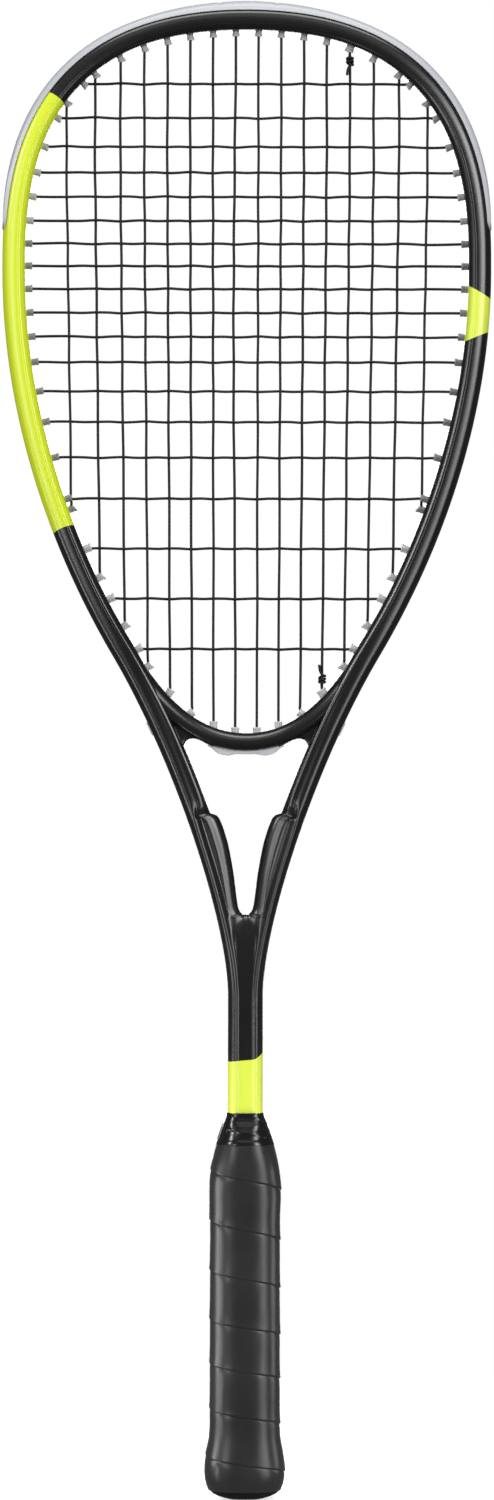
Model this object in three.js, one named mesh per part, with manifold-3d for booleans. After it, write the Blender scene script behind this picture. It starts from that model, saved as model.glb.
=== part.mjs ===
// Squash racket, in millimetres. The butt stands on z = 0 and the head points up +Z.
// X runs across the head and Y runs square to the strings; the front of the racket faces -Y.
import * as THREE from 'three';
import { mergeVertices } from 'three/addons/utils/BufferGeometryUtils.js';
import Module from 'manifold-3d';

const wasm = await Module();
wasm.setup();

// ---------- driving dimensions ----------

const GAP = 0.3; // clearance between neighbouring pieces

// centre line of the right half of the hairpin tube, as (x, z) points of three Bezier stretches
const SHAFT_X = 2.55; // each leg's centre line inside the shaft
const SHAFT_END_Z = 6;
const SHAFT_TOP = [SHAFT_X, 230];
const SIDE = [56.5, 388.5];
const WIDEST = [106.3, 561.5];
const APEX = [0, 676.4];
const LEG_HANDLES = [[SHAFT_X, 263.9], [26.9, 338.3]];
const SIDE_HANDLES = [[85.3, 437.3], [106.3, 497.9]];
const TOP_HANDLES = [[106.3, 588.8], [109, 676.4]];
const LEG_STEPS = 5;
const SIDE_STEPS = 8;
const TOP_STEPS = 11;

// hairpin tube section: n is measured outward from the centre line, d along Y
const TUBE_HALF = 5.45;
const TUBE_HALF_DEPTH = 9.3;
const WALL = 1.3;
const GROOVE_FLOOR = 2.2;
const GROOVE_HALF = 3.4;
const GROOVE_START = 4.55; // station on the leg where the string groove begins
const FOOT_STATION = 0.05; // a station just above the shaft's foot

// string bed
const MAINS = 16;
const MAIN_PITCH = 10.12;
const MAIN_PITCH_GROWTH = 2.5e-5; // the outer mains stand further apart, by the sixth power
const MAIN_FAN = 0.0002; // the mains spread towards the head
const FAN_CENTRE_Z = 466;
const CROSS_HEIGHTS = [
  647.4, 631.8, 618.6, 606.8, 595.7, 584.7, 574.2, 564.0, 553.5, 542.6,
  531.6, 520.0, 506.6, 492.6, 476.3, 457.5, 434.6, 411.7, 388.7,
];
const STRING_RADIUS = 0.62;
const WEAVE = 1.45; // how far a cross stands off a main it passes
const GROOVE_LEAD = 1.3; // a string bends into the groove this far from its hole
const LANE = 1.35; // sideways shift of a loop that passes another hole in the groove
const TIE_SHIFT = 0.74; // half the distance between two strings that share a hole

// grommet barrels, six-sided; the radii are to the corners
const BORE_RADIUS = 1.4;
const BARREL_RADIUS = 1.98;
const HOLE_RADIUS = 2.35;
const TIE_SCALE = 1.3; // a hole that takes two strings is this much larger
const BARREL_REACH = 8.1; // from the centre line to the barrel's inner end
const BARREL_SINK = 0.7; // a barrel ends this far inside the hole's mouth
const STRIP_FLOOR = GROOVE_FLOOR + GAP;
const STRIP_TOP = STRIP_FLOOR + 0.8;
const STRIP_HALF = 2.9;
const MOUTH_LIFT = 0.3; // a string turns into the groove this far above the strip
const STRING_LEVEL = STRIP_TOP + GAP + STRING_RADIUS;
const TAIL_LEVEL = STRING_LEVEL + 1.55;

// heights where the guard and the strips meet
const GUARD_END_Z = 580;
const STRIP_JOINT_Z = 443;
const STRIP_END_Z = 343;
const GUARD_SIDE = 1.8; // how far the guard stands out of the tube along the shoulders
const GUARD_CROWN = 1.29; // how much further it stands out at the apex
const GUARD_TAPER = 24; // length over which the guard rises from its ends
const CROWN_START = 105; // length from the guard's end to where the crown begins to rise
const CROWN_RISE = 65; // length of that rise
const STATION_LENGTH = 14; // between two stations at the sides, roughly
const JOINT_CLEARANCE = 0.6; // a strip ends this far from the joint

// bridge over the throat
const BRIDGE_DEPTH = 8.6; // half
const BRIDGE_THICK = 8;
const BRIDGE_TOP = [[49.3, 385.1], [31.75, 350.3]];
const BRIDGE_START = [60.2, 405.4];
const LOOP_Z = 340.3; // a string loop under the bridge, in the middle
const LOOP_RISE = 0.0085; // its height grows with the square of x
const BRIDGE_CROWN_Z = 350.3;
const BRIDGE_STRIP_HALF = 18;
const BRIDGE_END_X = 46; // the bar ends inside the legs here

// handle: half widths of the outer surface at each height
const WRAP_PROFILE = [
  [17.0, 5], [18.2, 10], [18.3, 18], [17.3, 23], [16.4, 29], [16.1, 34], [16.1, 128],
  [16.5, 138], [16.4, 146], [15.2, 154], [12.8, 163],
];
const CAP_HALF = 15.9;
const PALLET_HALF = 14.5;
const HANDLE_DEPTH_RATIO = 0.86; // depth over width of the gripped section
const NECK_DEPTH_RATIO = 1.14; // the same where the handle meets the deeper shaft

// ---------- small tools ----------

/** A path through exactly these points, with the section square to the mean of the two runs. */
class Route extends THREE.Curve {
  constructor(points) {
    super();
    this.points = points;
  }

  getPoint(t, target = new THREE.Vector3()) {
    const place = Math.min(Math.max(t, 0), 1) * (this.points.length - 1);
    const low = Math.min(Math.floor(place), this.points.length - 2);
    return target.lerpVectors(this.points[low], this.points[low + 1], place - low);
  }

  getPointAt(t, target) {
    return this.getPoint(t, target);
  }

  getTangentAt(t, target = new THREE.Vector3()) {
    const i = Math.round(t * (this.points.length - 1));
    const here = this.points[i];
    const before = this.points[Math.max(i - 1, 0)];
    const after = this.points[Math.min(i + 1, this.points.length - 1)];
    const arriving = here.clone().sub(before).normalize();
    const leaving = after.clone().sub(here).normalize();
    return target.copy(arriving).add(leaving).normalize();
  }
}

/** A closed outline swept along points: each outline point is [outward n, depth d]. */
function sweep(outline, points) {
  const shape = new THREE.Shape(outline.map(([n, d]) => new THREE.Vector2(-d, -n)));
  const options = { steps: points.length - 1, bevelEnabled: false, extrudePath: new Route(points) };
  return new THREE.ExtrudeGeometry(shape, options);
}

/** An outline of [x, z] points or a Shape, given thickness either side of the string plane. */
function plate(outline, halfDepth) {
  const shape = outline instanceof THREE.Shape
    ? outline
    : new THREE.Shape(outline.map(([x, z]) => new THREE.Vector2(x, z)));
  const options = { depth: 2 * halfDepth, bevelEnabled: false, curveSegments: 5 };
  const geometry = new THREE.ExtrudeGeometry(shape, options).translate(0, 0, -halfDepth);
  return geometry.rotateX(Math.PI / 2);
}

/** An outline of [x, y] points raised from z = low to z = high. */
function prism(outline, low, high) {
  const shape = new THREE.Shape(outline.map(([x, y]) => new THREE.Vector2(x, y)));
  return new THREE.ExtrudeGeometry(shape, { depth: high - low, bevelEnabled: false }).translate(0, 0, low);
}

function solid(geometry) {
  const bare = geometry.clone();
  bare.deleteAttribute('normal');
  bare.deleteAttribute('uv');
  const merged = mergeVertices(bare, 1e-4);
  const mesh = new wasm.Mesh({
    numProp: 3,
    vertProperties: new Float32Array(merged.attributes.position.array),
    triVerts: new Uint32Array(merged.index.array),
  });
  return new wasm.Manifold(mesh);
}

function geometryOf(manifold) {
  const mesh = manifold.getMesh();
  const geometry = new THREE.BufferGeometry();
  geometry.setAttribute('position', new THREE.BufferAttribute(mesh.vertProperties, 3));
  geometry.setIndex(new THREE.BufferAttribute(mesh.triVerts, 1));
  geometry.computeVertexNormals();
  return geometry;
}

const joined = (parts) => parts.map(solid).reduce((sum, part) => sum.add(part));
const cut = (body, tools) => tools.map(solid).reduce((rest, tool) => rest.subtract(tool), body);
const mirrorX = (v) => new THREE.Vector3(-v.x, v.y, v.z);
const atXZ = (x, z, y = 0) => new THREE.Vector3(x, y, z);
const bothSides = (points) => [...points, ...points.map(([n, d]) => [n, -d]).reverse()];

function smooth(t) {
  const x = Math.min(Math.max(t, 0), 1);
  return x * x * (3 - 2 * x);
}

/** Root of a function that changes sign between low and high. */
function solve(f, low, high) {
  let a = low;
  let b = high;
  const rising = f(b) > f(a);
  for (let i = 0; i < 50; i++) {
    const middle = (a + b) / 2;
    if (f(middle) > 0 === rising) b = middle;
    else a = middle;
  }
  return (a + b) / 2;
}

// ---------- the hairpin's centre line ----------

function bezierPoints(start, [first, second], end, steps) {
  const points = [start, first, second, end].map(([x, z]) => new THREE.Vector2(x, z));
  return new THREE.CubicBezierCurve(...points).getPoints(steps).map((p) => atXZ(p.x, p.y));
}

const rightHalf = [
  atXZ(SHAFT_X, SHAFT_END_Z),
  ...bezierPoints(SHAFT_TOP, LEG_HANDLES, SIDE, LEG_STEPS),
  ...bezierPoints(SIDE, SIDE_HANDLES, WIDEST, SIDE_STEPS).slice(1),
  ...bezierPoints(WIDEST, TOP_HANDLES, APEX, TOP_STEPS).slice(1),
];
// stations run from the foot of the left leg, over the apex, to the foot of the right leg
const stations = [...rightHalf.map(mirrorX), ...rightHalf.slice(0, -1).reverse()];
const LAST = stations.length - 1;
const MIDDLE = LAST / 2;
const WIDE_STATION = 1 + LEG_STEPS + SIDE_STEPS;

/** Point of the centre line at a station that may be a fraction. */
function along(s) {
  const low = Math.min(Math.floor(s), LAST - 1);
  return stations[low].clone().lerp(stations[low + 1], s - low);
}

/** Outward direction of the hairpin at a station. */
function outward(s) {
  const run = along(Math.min(s + 0.5, LAST)).sub(along(Math.max(s - 0.5, 0))).normalize();
  return atXZ(-run.z, run.x);
}

/** The point n outside the centre line, shifted by y across the tube. */
const off = (s, n, y = 0) => along(s).addScaledVector(outward(s), n).setY(y);

/** The centre line between two stations, which may be fractions. */
function stretch(from, to) {
  const points = [along(from)];
  for (let i = Math.floor(from) + 1; i < to - 1e-6; i++) points.push(stations[i]);
  points.push(along(to));
  return points;
}

const leftStationAtHeight = (z) => solve((s) => along(s).z - z, 1, MIDDLE);
const opposite = (s) => LAST - s;

// ---------- where each string meets the frame ----------

const mainUnits = (i) => i - (MAINS + 1) / 2; // main 1 is the leftmost

function mainX(i, z) {
  const u = mainUnits(i);
  const even = MAIN_PITCH * u + MAIN_PITCH_GROWTH * u * Math.abs(u) ** 5;
  return even * (1 + MAIN_FAN * (z - FAN_CENTRE_Z));
}

/** A hole square to the tube at station s. */
const squareHole = (s) => ({ s, tip: off(s, -BARREL_REACH), mouth: off(s, STRIP_TOP + MOUTH_LIFT) });

function mirrored(hole) {
  const s = hole.s === undefined ? undefined : opposite(hole.s);
  return { s, tip: mirrorX(hole.tip), mouth: mirrorX(hole.mouth) };
}

/** The hole on the left leg that a string leaves by when it slants from the bridge to the leg. */
function slantedHole(i, tipZ, mouthZ) {
  const s = leftStationAtHeight(mouthZ);
  return { s, tip: atXZ(mainX(i, tipZ), tipZ), mouth: off(s, STRIP_TOP + MOUTH_LIFT) };
}

/** A hole straight down through the bridge. */
function bridgeHole(i, tipZ, mouthZ) {
  return { tip: atXZ(mainX(i, tipZ), tipZ), mouth: atXZ(mainX(i, tipZ), mouthZ) };
}

/** The square hole between two stations whose barrel ends on main i. */
function mainHole(i, from, to) {
  const besideMain = (s) => {
    const tip = off(s, -BARREL_REACH);
    return tip.x - mainX(i, tip.z);
  };
  return squareHole(solve(besideMain, from, to));
}

/** The square hole on the left half whose barrel ends at height z. */
const crossHole = (z) => squareHole(solve((s) => off(s, -BARREL_REACH).z - z, LEG_STEPS, MIDDLE));

function bottomHole(i) {
  if (i === 5) return slantedHole(5, 370.5, 357);
  if (i === 6) return slantedHole(6, 361, 350.5);
  if (i === 7) return bridgeHole(7, 357, 342.6);
  if (i === 8) return bridgeHole(8, 354.6, 341);
  return mainHole(i, LEG_STEPS, WIDE_STATION);
}

const HALF = MAINS / 2;
const topHoles = {};
const bottomHoles = {};
for (let i = 1; i <= HALF; i++) {
  topHoles[i] = mainHole(i, WIDE_STATION, MIDDLE);
  bottomHoles[i] = bottomHole(i);
  topHoles[MAINS + 1 - i] = mirrored(topHoles[i]);
  bottomHoles[MAINS + 1 - i] = mirrored(bottomHoles[i]);
}
const crossHolesLeft = CROSS_HEIGHTS.map(crossHole);
const crossHolesRight = crossHolesLeft.map(mirrored);
const TOP_TIE = 13; // the main whose top hole also takes the string's first end
const BOTTOM_TIE = 12; // the main whose bottom hole also takes its last end
topHoles[TOP_TIE].tie = true;
bottomHoles[BOTTOM_TIE].tie = true;

const mainHoles = [...Object.values(topHoles), ...Object.values(bottomHoles)];
const allHoles = [...mainHoles, ...crossHolesLeft, ...crossHolesRight];
const tubeHoles = allHoles.filter((hole) => hole.s !== undefined);
const bridgeHoles = [7, 8, 9, 10].map((i) => bottomHoles[i]);
const slantedHoles = [5, 6, 11, 12].map((i) => bottomHoles[i]); // through leg and bridge

/** A six-sided rod between two points, longer by extra at either end. */
function rod(radius, from, to, extra = 0) {
  const length = from.distanceTo(to) + 2 * extra;
  const up = to.clone().sub(from).normalize();
  const side = new THREE.Vector3(0, 1, 0);
  const basis = new THREE.Matrix4().makeBasis(side, up, side.clone().cross(up));
  basis.setPosition(from.clone().lerp(to, 0.5));
  return new THREE.CylinderGeometry(radius, radius, length, 6).applyMatrix4(basis);
}

const scaleOf = (hole) => (hole.tie ? TIE_SCALE : 1);

const holeTool = (hole, radius = HOLE_RADIUS, extra = 4) =>
  rod(radius * scaleOf(hole), hole.tip, hole.mouth, extra);

/** A barrel's outside, from its inner end to just below the strip's top. */
function barrelBody(hole) {
  const sunk = hole.mouth.clone().lerp(hole.tip, BARREL_SINK / hole.mouth.distanceTo(hole.tip));
  return rod(BARREL_RADIUS * scaleOf(hole), hole.tip, sunk);
}

/** A strip or guard with its barrels, bored through. */
function withBarrels(body, holes) {
  const whole = holes.reduce((sum, hole) => sum.add(solid(barrelBody(hole))), body);
  return cut(whole, holes.map((hole) => holeTool(hole, BORE_RADIUS, 2)));
}

// ---------- frame ----------

const tubeOutline = (grow = 0) => bothSides([
  [-TUBE_HALF - grow, 3.5],
  [-3.9 - grow, 7.3 + grow / 2],
  [-1 - grow / 2, TUBE_HALF_DEPTH + grow],
  [2.7 + grow / 2, TUBE_HALF_DEPTH + grow],
  [TUBE_HALF + grow, 6 + grow / 2],
]);

const OPEN_HOLLOW = bothSides([
  [-TUBE_HALF + WALL, 3.1],
  [-2.9, 6.6],
  [-0.6, TUBE_HALF_DEPTH - WALL],
  [2.2, TUBE_HALF_DEPTH - WALL],
  [TUBE_HALF - WALL, 5.6],
]);

// under the string groove the hollow wraps round the groove's walls
const GROOVED_HOLLOW = bothSides([
  [-TUBE_HALF + WALL, 3.1],
  [-2.9, 6.6],
  [-0.6, TUBE_HALF_DEPTH - WALL],
  [2.2, TUBE_HALF_DEPTH - WALL],
  [TUBE_HALF - WALL, 6.0],
  [TUBE_HALF - WALL, 4.6],
  [GROOVE_FLOOR - WALL, 4.2],
]);

const GROOVE = bothSides([[GROOVE_FLOOR, GROOVE_HALF], [TUBE_HALF + 2, GROOVE_HALF]]);

/** The flat web between the legs, from the shaft to the V of the throat. */
function throatWeb() {
  const web = new THREE.Shape();
  web.moveTo(-8, 240);
  web.lineTo(-23, 318);
  web.lineTo(-18.2, 318);
  web.quadraticCurveTo(-15.6, 311.5, -12, 309.5);
  web.lineTo(-5.3, 284.8);
  web.lineTo(-3.3, 272.5);
  web.quadraticCurveTo(-2.6, 267.6, 0, 267.6);
  web.quadraticCurveTo(2.6, 267.6, 3.3, 272.5);
  web.lineTo(5.3, 284.8);
  web.lineTo(12, 309.5);
  web.quadraticCurveTo(15.6, 311.5, 18.2, 318);
  web.lineTo(23, 318);
  web.lineTo(8, 240);
  return plate(web, 6);
}

/** The panel that fills the slit between the two runs of tube along the shaft. */
const shaftPanel = () => prism([[-3, -9], [3, -9], [3, 9], [-3, 9]], SHAFT_END_Z, 258);

function racketFrame() {
  const outside = joined([sweep(tubeOutline(), stations), throatWeb(), shaftPanel()]);
  const foot = (x) => atXZ(x, SHAFT_END_Z - 3); // the hollow is open at the shaft's foot
  const legEnd = GROOVE_START - 0.25;
  const leftHollow = [foot(-SHAFT_X), ...stretch(FOOT_STATION, legEnd)];
  const rightHollow = [...stretch(opposite(legEnd), opposite(FOOT_STATION)), foot(SHAFT_X)];
  const hollow = joined([
    sweep(OPEN_HOLLOW, leftHollow),
    sweep(OPEN_HOLLOW, rightHollow),
    sweep(GROOVED_HOLLOW, stretch(GROOVE_START - 0.5, opposite(GROOVE_START - 0.5))),
  ]);
  const groove = sweep(GROOVE, stretch(GROOVE_START, opposite(GROOVE_START)));
  return geometryOf(cut(outside.subtract(hollow), [groove, ...tubeHoles.map((hole) => holeTool(hole))]));
}

// ---------- throat bridge ----------

function bridgeTopPoints(limitX) {
  const half = bezierPoints(BRIDGE_START, BRIDGE_TOP, [0, BRIDGE_CROWN_Z], 16);
  const right = half.filter((p) => p.x < limitX);
  return [...right.map(mirrorX), ...right.slice(0, -1).reverse()];
}

function gusset(side) {
  const web = new THREE.Shape();
  web.moveTo(-27.3 * side, 341.5);
  web.quadraticCurveTo(-27.3 * side, 347.3, -22.6 * side, 346.7);
  web.lineTo(-20 * side, 350);
  web.lineTo(-41.5 * side, 371);
  web.lineTo(-46 * side, 371);
  web.lineTo(-33 * side, 341.5);
  return plate(web, 5.5);
}

function throatBridge() {
  // the bar's section hangs below its top edge; the sweep's outward side is up, so n is negative
  const bar = bothSides([
    [0, 3.0],
    [-1.9, 6.8],
    [-4.2, BRIDGE_DEPTH],
    [-6.4, BRIDGE_DEPTH],
    [-BRIDGE_THICK, 6.4],
  ]).reverse();
  const whole = joined([sweep(bar, bridgeTopPoints(BRIDGE_END_X)), gusset(1), gusset(-1)]);
  const room = sweep(tubeOutline(GAP), stations);
  const tools = [...bridgeHoles, ...slantedHoles].map((hole) => holeTool(hole));
  return geometryOf(cut(whole, [room, ...tools]));
}

/** The clear strip under the bridge: a channel for the two string loops, deeper at its two pads. */
function bridgeStrip() {
  const under = bridgeTopPoints(BRIDGE_END_X).filter((p) => Math.abs(p.x) < BRIDGE_STRIP_HALF);
  const floor = -BRIDGE_THICK - GAP;
  const channel = bothSides([
    [floor, 4.6],
    [floor - 2.2, 4.2],
    [floor - 2.2, 2.0],
    [floor - 0.7, 2.0],
  ]).reverse();
  const pads = [-1, 1].map((side) => {
    const pad = new THREE.Shape();
    pad.moveTo(4.4 * side, 341.4);
    pad.quadraticCurveTo(9.6 * side, 337.6, 15 * side, 342.6);
    pad.lineTo(15 * side, 343.8);
    pad.lineTo(4.4 * side, 342.1);
    return plate(pad, 4.2);
  });
  const body = joined([sweep(channel, under), ...pads]);
  const lanes = [-1, 1].map((side) => plate([
    [3.2 * side, 341.3], [3.2 * side, 338], [16.4 * side, 338], [16.4 * side, 343.5],
  ], 1.5));
  const room = sweep(bothSides([[1, 9], [floor, 9]]).reverse(), bridgeTopPoints(BRIDGE_END_X));
  return geometryOf(withBarrels(cut(body, [...lanes, room]), bridgeHoles));
}

// ---------- guard and grommet strips ----------

const guardStart = leftStationAtHeight(GUARD_END_Z);

/** How far the guard's outer face lies from the centre line at a station. */
function guardReach(s) {
  const path = stretch(guardStart, Math.min(s, opposite(s)));
  const run = path.slice(1).reduce((sum, point, i) => sum + point.distanceTo(path[i]), 0);
  const side = GUARD_SIDE * (1 - Math.exp(-run / GUARD_TAPER));
  return TUBE_HALF + 0.2 + side + GUARD_CROWN * smooth((run - CROWN_START) / CROWN_RISE);
}

function bumperGuard() {
  const path = stretch(guardStart, opposite(guardStart));
  const top = TUBE_HALF + GUARD_SIDE + GUARD_CROWN + 0.3;
  const section = bothSides([
    [STRIP_FLOOR, STRIP_HALF],
    [TUBE_HALF + GAP, STRIP_HALF],
    [TUBE_HALF + GAP, 6.6],
    [top - 1.2, 6.6],
    [top, 5.0],
    [top, 2.2],
    [STRIP_TOP, 2.2],
  ]);
  const steps = [guardStart];
  for (let i = Math.ceil(guardStart); i < opposite(guardStart); i++) steps.push(i);
  steps.push(opposite(guardStart));
  const outline = steps.map((s) => off(s, guardReach(s))).map((p) => [p.x, p.z]);
  const envelope = plate([...outline, [60, GUARD_END_Z - 30], [-60, GUARD_END_Z - 30]], 12);
  const body = solid(sweep(section, path)).intersect(solid(envelope));
  const holes = allHoles.filter((hole) => hole.s > guardStart && hole.s < opposite(guardStart));
  return geometryOf(withBarrels(body, holes));
}

/** A flat strip in the groove between two heights, with the barrels that start from it. */
function grommetStrip(side, lowZ, highZ) {
  const clear = JOINT_CLEARANCE / STATION_LENGTH;
  const low = leftStationAtHeight(lowZ) + clear;
  const high = leftStationAtHeight(highZ) - clear;
  const [from, to] = side < 0 ? [low, high] : [opposite(high), opposite(low)];
  const section = bothSides([[STRIP_FLOOR, STRIP_HALF], [STRIP_TOP, STRIP_HALF]]);
  const above = bothSides([[STRIP_TOP, GROOVE_HALF], [TUBE_HALF + 3, GROOVE_HALF]]);
  const holes = tubeHoles.filter((hole) => hole.s > from && hole.s < to);
  const strip = withBarrels(solid(sweep(section, stretch(from, to))), holes);
  return geometryOf(cut(strip, [sweep(above, stretch(from, to))]));
}

// ---------- string ----------

/** Points in the groove from hole a to hole b, shifted sideways by y. */
function grooveRun(a, b, y, level = STRING_LEVEL) {
  const way = Math.sign(b.s - a.s);
  const lead = (hole, sign) => {
    const low = Math.floor(hole.s);
    return hole.s + sign * GROOVE_LEAD / stations[low].distanceTo(stations[low + 1]);
  };
  const from = lead(a, way);
  const to = lead(b, -way);
  const points = [off(from, level, y)];
  const inner = way > 0 ? Math.floor(from) + 1 : Math.ceil(from) - 1;
  for (let i = inner; way * (to - i) > 0.05; i += way) points.push(off(i, level, y));
  points.push(off(to, level, y));
  return points;
}

/** Points of a loop under the bridge from one bridge hole to the next. */
function bridgeRun(a, b) {
  const underBridge = (share) => {
    const x = a.mouth.x + (b.mouth.x - a.mouth.x) * share;
    return atXZ(x, LOOP_Z + LOOP_RISE * x * x);
  };
  return [0.12, 0.5, 0.88].map(underBridge);
}

const shifted = (point, y) => point.clone().setY(y);

/** Two turns round a main just inside its hole, then the cut end beside it. */
function knot(main, hole, way) {
  const points = [];
  const first = hole.tip.z + way * 4.2;
  const turns = 1.75;
  const steps = 12;
  const radius = 1.6;
  for (let k = 0; k <= steps; k++) {
    const angle = Math.PI / 2 - (k / steps) * turns * 2 * Math.PI;
    const z = first + way * (k / steps) * 3;
    points.push(atXZ(mainX(main, z) + radius * Math.cos(angle), z, radius * Math.sin(angle)));
  }
  const last = points[points.length - 1];
  points.push(last.clone().add(new THREE.Vector3(-1.4, -0.6, way * 1.6)));
  points.push(last.clone().add(new THREE.Vector3(-2.2, -0.8, way * 4.6)));
  return points;
}

function throughHole(hole, outwards, y = 0) {
  const run = [shifted(hole.tip, y), shifted(hole.mouth, y)];
  return outwards ? run : run.reverse();
}

function mainRun(i) {
  const down = i % 2 === 0;
  const top = topHoles[i];
  const bottom = bottomHoles[i];
  const ends = down ? [top, bottom] : [bottom, top];
  const y = (hole) => (hole.tie ? -TIE_SHIFT : 0);
  const points = [...throughHole(ends[0], false, y(ends[0]))];
  for (const hole of ends.filter((end) => end.tie)) {
    const z = hole.tip.z + (hole === top ? -2.4 : 2.4);
    points.push(atXZ(mainX(i, z), z));
  }
  points.push(...throughHole(ends[1], true, y(ends[1])));
  return points;
}

/** The mains that a cross at this height passes, left to right. */
const mainsAt = (z) => Object.keys(topHoles).map(Number)
  .filter((i) => bottomHoles[i].tip.z < z - 1 && topHoles[i].tip.z > z + 1);

function crossRun(j) {
  const z = CROSS_HEIGHTS[j - 1];
  const weave = mainsAt(z).map((i) => atXZ(mainX(i, z), z, (i + j) % 2 ? WEAVE : -WEAVE));
  const left = crossHolesLeft[j - 1];
  const right = crossHolesRight[j - 1];
  const points = [...throughHole(left, false), ...weave, ...throughHole(right, true)];
  return j % 2 ? points : points.reverse();
}

/** The whole string: knot, mains from right to left, crosses from top to bottom, knot. */
function stringRoute() {
  const firstTie = topHoles[TOP_TIE];
  const lastTie = bottomHoles[BOTTOM_TIE];
  const route = [
    ...knot(TOP_TIE, firstTie, -1).reverse(),
    ...throughHole(firstTie, true, TIE_SHIFT),
    ...grooveRun(firstTie, topHoles[MAINS], 0, TAIL_LEVEL),
  ];
  for (let i = MAINS; i >= 1; i--) {
    route.push(...mainRun(i));
    if (i === 1) break;
    const holes = i % 2 === 0 ? bottomHoles : topHoles;
    const underBridge = i === 8 || i === 10;
    if (underBridge) route.push(...bridgeRun(holes[i], holes[i - 1]));
    else route.push(...grooveRun(holes[i], holes[i - 1], -LANE));
  }
  route.push(...grooveRun(topHoles[1], crossHolesLeft[0], LANE));
  for (let j = 1; j <= CROSS_HEIGHTS.length; j++) {
    route.push(...crossRun(j));
    const holes = j % 2 ? crossHolesRight : crossHolesLeft;
    if (j < CROSS_HEIGHTS.length) route.push(...grooveRun(holes[j - 1], holes[j], LANE));
    else route.push(...grooveRun(holes[j - 1], lastTie, LANE));
  }
  route.push(...throughHole(lastTie, false, TIE_SHIFT), ...knot(BOTTOM_TIE, lastTie, 1));
  return route;
}

function racketString() {
  const corners = [0, 1, 2, 3].map((k) => [
    STRING_RADIUS * Math.cos((k + 0.5) * Math.PI / 2),
    STRING_RADIUS * Math.sin((k + 0.5) * Math.PI / 2),
  ]);
  return sweep(corners, stringRoute());
}

// ---------- handle ----------

/** A body of handle section: its profile gives half widths, and the depth follows. */
function handleBody(profile, sides = 16) {
  const geometry = new THREE.LatheGeometry(profile.map(([w, z]) => new THREE.Vector2(w, z)), sides);
  geometry.rotateX(Math.PI / 2);
  const position = geometry.attributes.position;
  for (let i = 0; i < position.count; i++) {
    const [x, y, z] = [position.getX(i), position.getY(i), position.getZ(i)];
    const radius = Math.hypot(x, y);
    if (radius < 1e-6) continue;
    const neck = smooth((z - 140) / 28);
    const power = 0.7 - 0.28 * neck;
    const ratio = HANDLE_DEPTH_RATIO + (NECK_DEPTH_RATIO - HANDLE_DEPTH_RATIO) * neck;
    const shape = (c) => Math.sign(c) * Math.abs(c / radius) ** power * radius;
    position.setXYZ(i, shape(x), shape(y) * ratio, z);
  }
  return geometry;
}

const filled = (profile) => handleBody([[0, profile[0][1]], ...profile, [0, profile[profile.length - 1][1]]]);
const grown = (profile, by) => profile.map(([w, z]) => [w + by, z]);

/** The shaft's section with clearance, as a prism between two heights. */
function shaftRoom(low, high) {
  const half = SHAFT_X + TUBE_HALF + GAP;
  const deep = TUBE_HALF_DEPTH + GAP;
  const quarter = [[half, 6.3], [5.5, deep], [-5.5, deep], [-half, 6.3]];
  return prism([...quarter, ...quarter.map(([x, y]) => [-x, -y])], low, high);
}

const PALLET_PROFILE = [
  [PALLET_HALF, 3], [PALLET_HALF, 138], [13.9, 147], [12.2, 155], [10.3, 160],
];
const CAP_SKIRT_Z = 24;
const STAPLE_Z = 15;

/** A staple: a crown lying on the cap's skirt and two legs into the pallet. */
function staple(direction, grow = 0) {
  const span = 4.4 + 2 * grow;
  const crownIn = CAP_HALF * (direction.y ? HANDLE_DEPTH_RATIO : 1) + 0.15 - grow;
  const thick = 0.5 + 2 * grow;
  const leg = 4.4 + grow;
  const crown = new THREE.BoxGeometry(thick, span, 0.7 + 2 * grow).translate(crownIn + thick / 2, 0, 0);
  const legs = [-1, 1].map((side) => new THREE.BoxGeometry(leg, 0.7 + 2 * grow, 0.7 + 2 * grow)
    .translate(crownIn - leg / 2 + thick, side * 1.85, 0));
  const angle = Math.atan2(direction.y, direction.x);
  const whole = joined([crown, ...legs]);
  return geometryOf(whole).rotateZ(angle).translate(0, 0, STAPLE_Z);
}

const STAPLE_SIDES = {
  left: { x: -1, y: 0 },
  right: { x: 1, y: 0 },
  front: { x: 0, y: -1 },
  back: { x: 0, y: 1 },
};
const stapleRooms = Object.values(STAPLE_SIDES).map((direction) => staple(direction, GAP / 2));

/** One half of the foam handle; side -1 is the front half. */
function pallet(side) {
  const keep = new THREE.BoxGeometry(80, 40, 400).translate(0, side * (20 + GAP / 2), 100);
  const body = solid(filled(PALLET_PROFILE)).intersect(solid(keep));
  return geometryOf(cut(body, [shaftRoom(0, 200), ...stapleRooms]));
}

/** The flared cap: a cup over the end of the pallets. */
function buttCap() {
  const outside = filled([[11, 0], [14.3, 1.5], [CAP_HALF, 4.4], [CAP_HALF, CAP_SKIRT_Z]]);
  const inside = filled([[PALLET_HALF + GAP, 2.7], [PALLET_HALF + GAP, CAP_SKIRT_Z + 5]]);
  return geometryOf(cut(solid(outside), [inside, ...stapleRooms]));
}

/** The cushioned wrap over cap and pallets, up to the collar. */
function gripWrap() {
  const inner = [
    [CAP_HALF + 1.1, 4], [CAP_HALF + 1.1, 22], [16.0, 24.4], [PALLET_HALF + GAP + 0.1, 29],
    [PALLET_HALF + GAP + 0.1, 138], [14.2, 147.3], [12.6, 155.5], [11.0, 160.4], [10.6, 164],
  ];
  return geometryOf(solid(filled(WRAP_PROFILE)).subtract(solid(filled(inner))));
}

const TAPE_PROFILE = [[10.9, 163.4], [9.5, 170.5]];

/** The tape that closes the wrap against the shaft, under the collar. */
const finishingTape = () => geometryOf(cut(solid(filled(TAPE_PROFILE)), [shaftRoom(150, 190)]));

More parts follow.
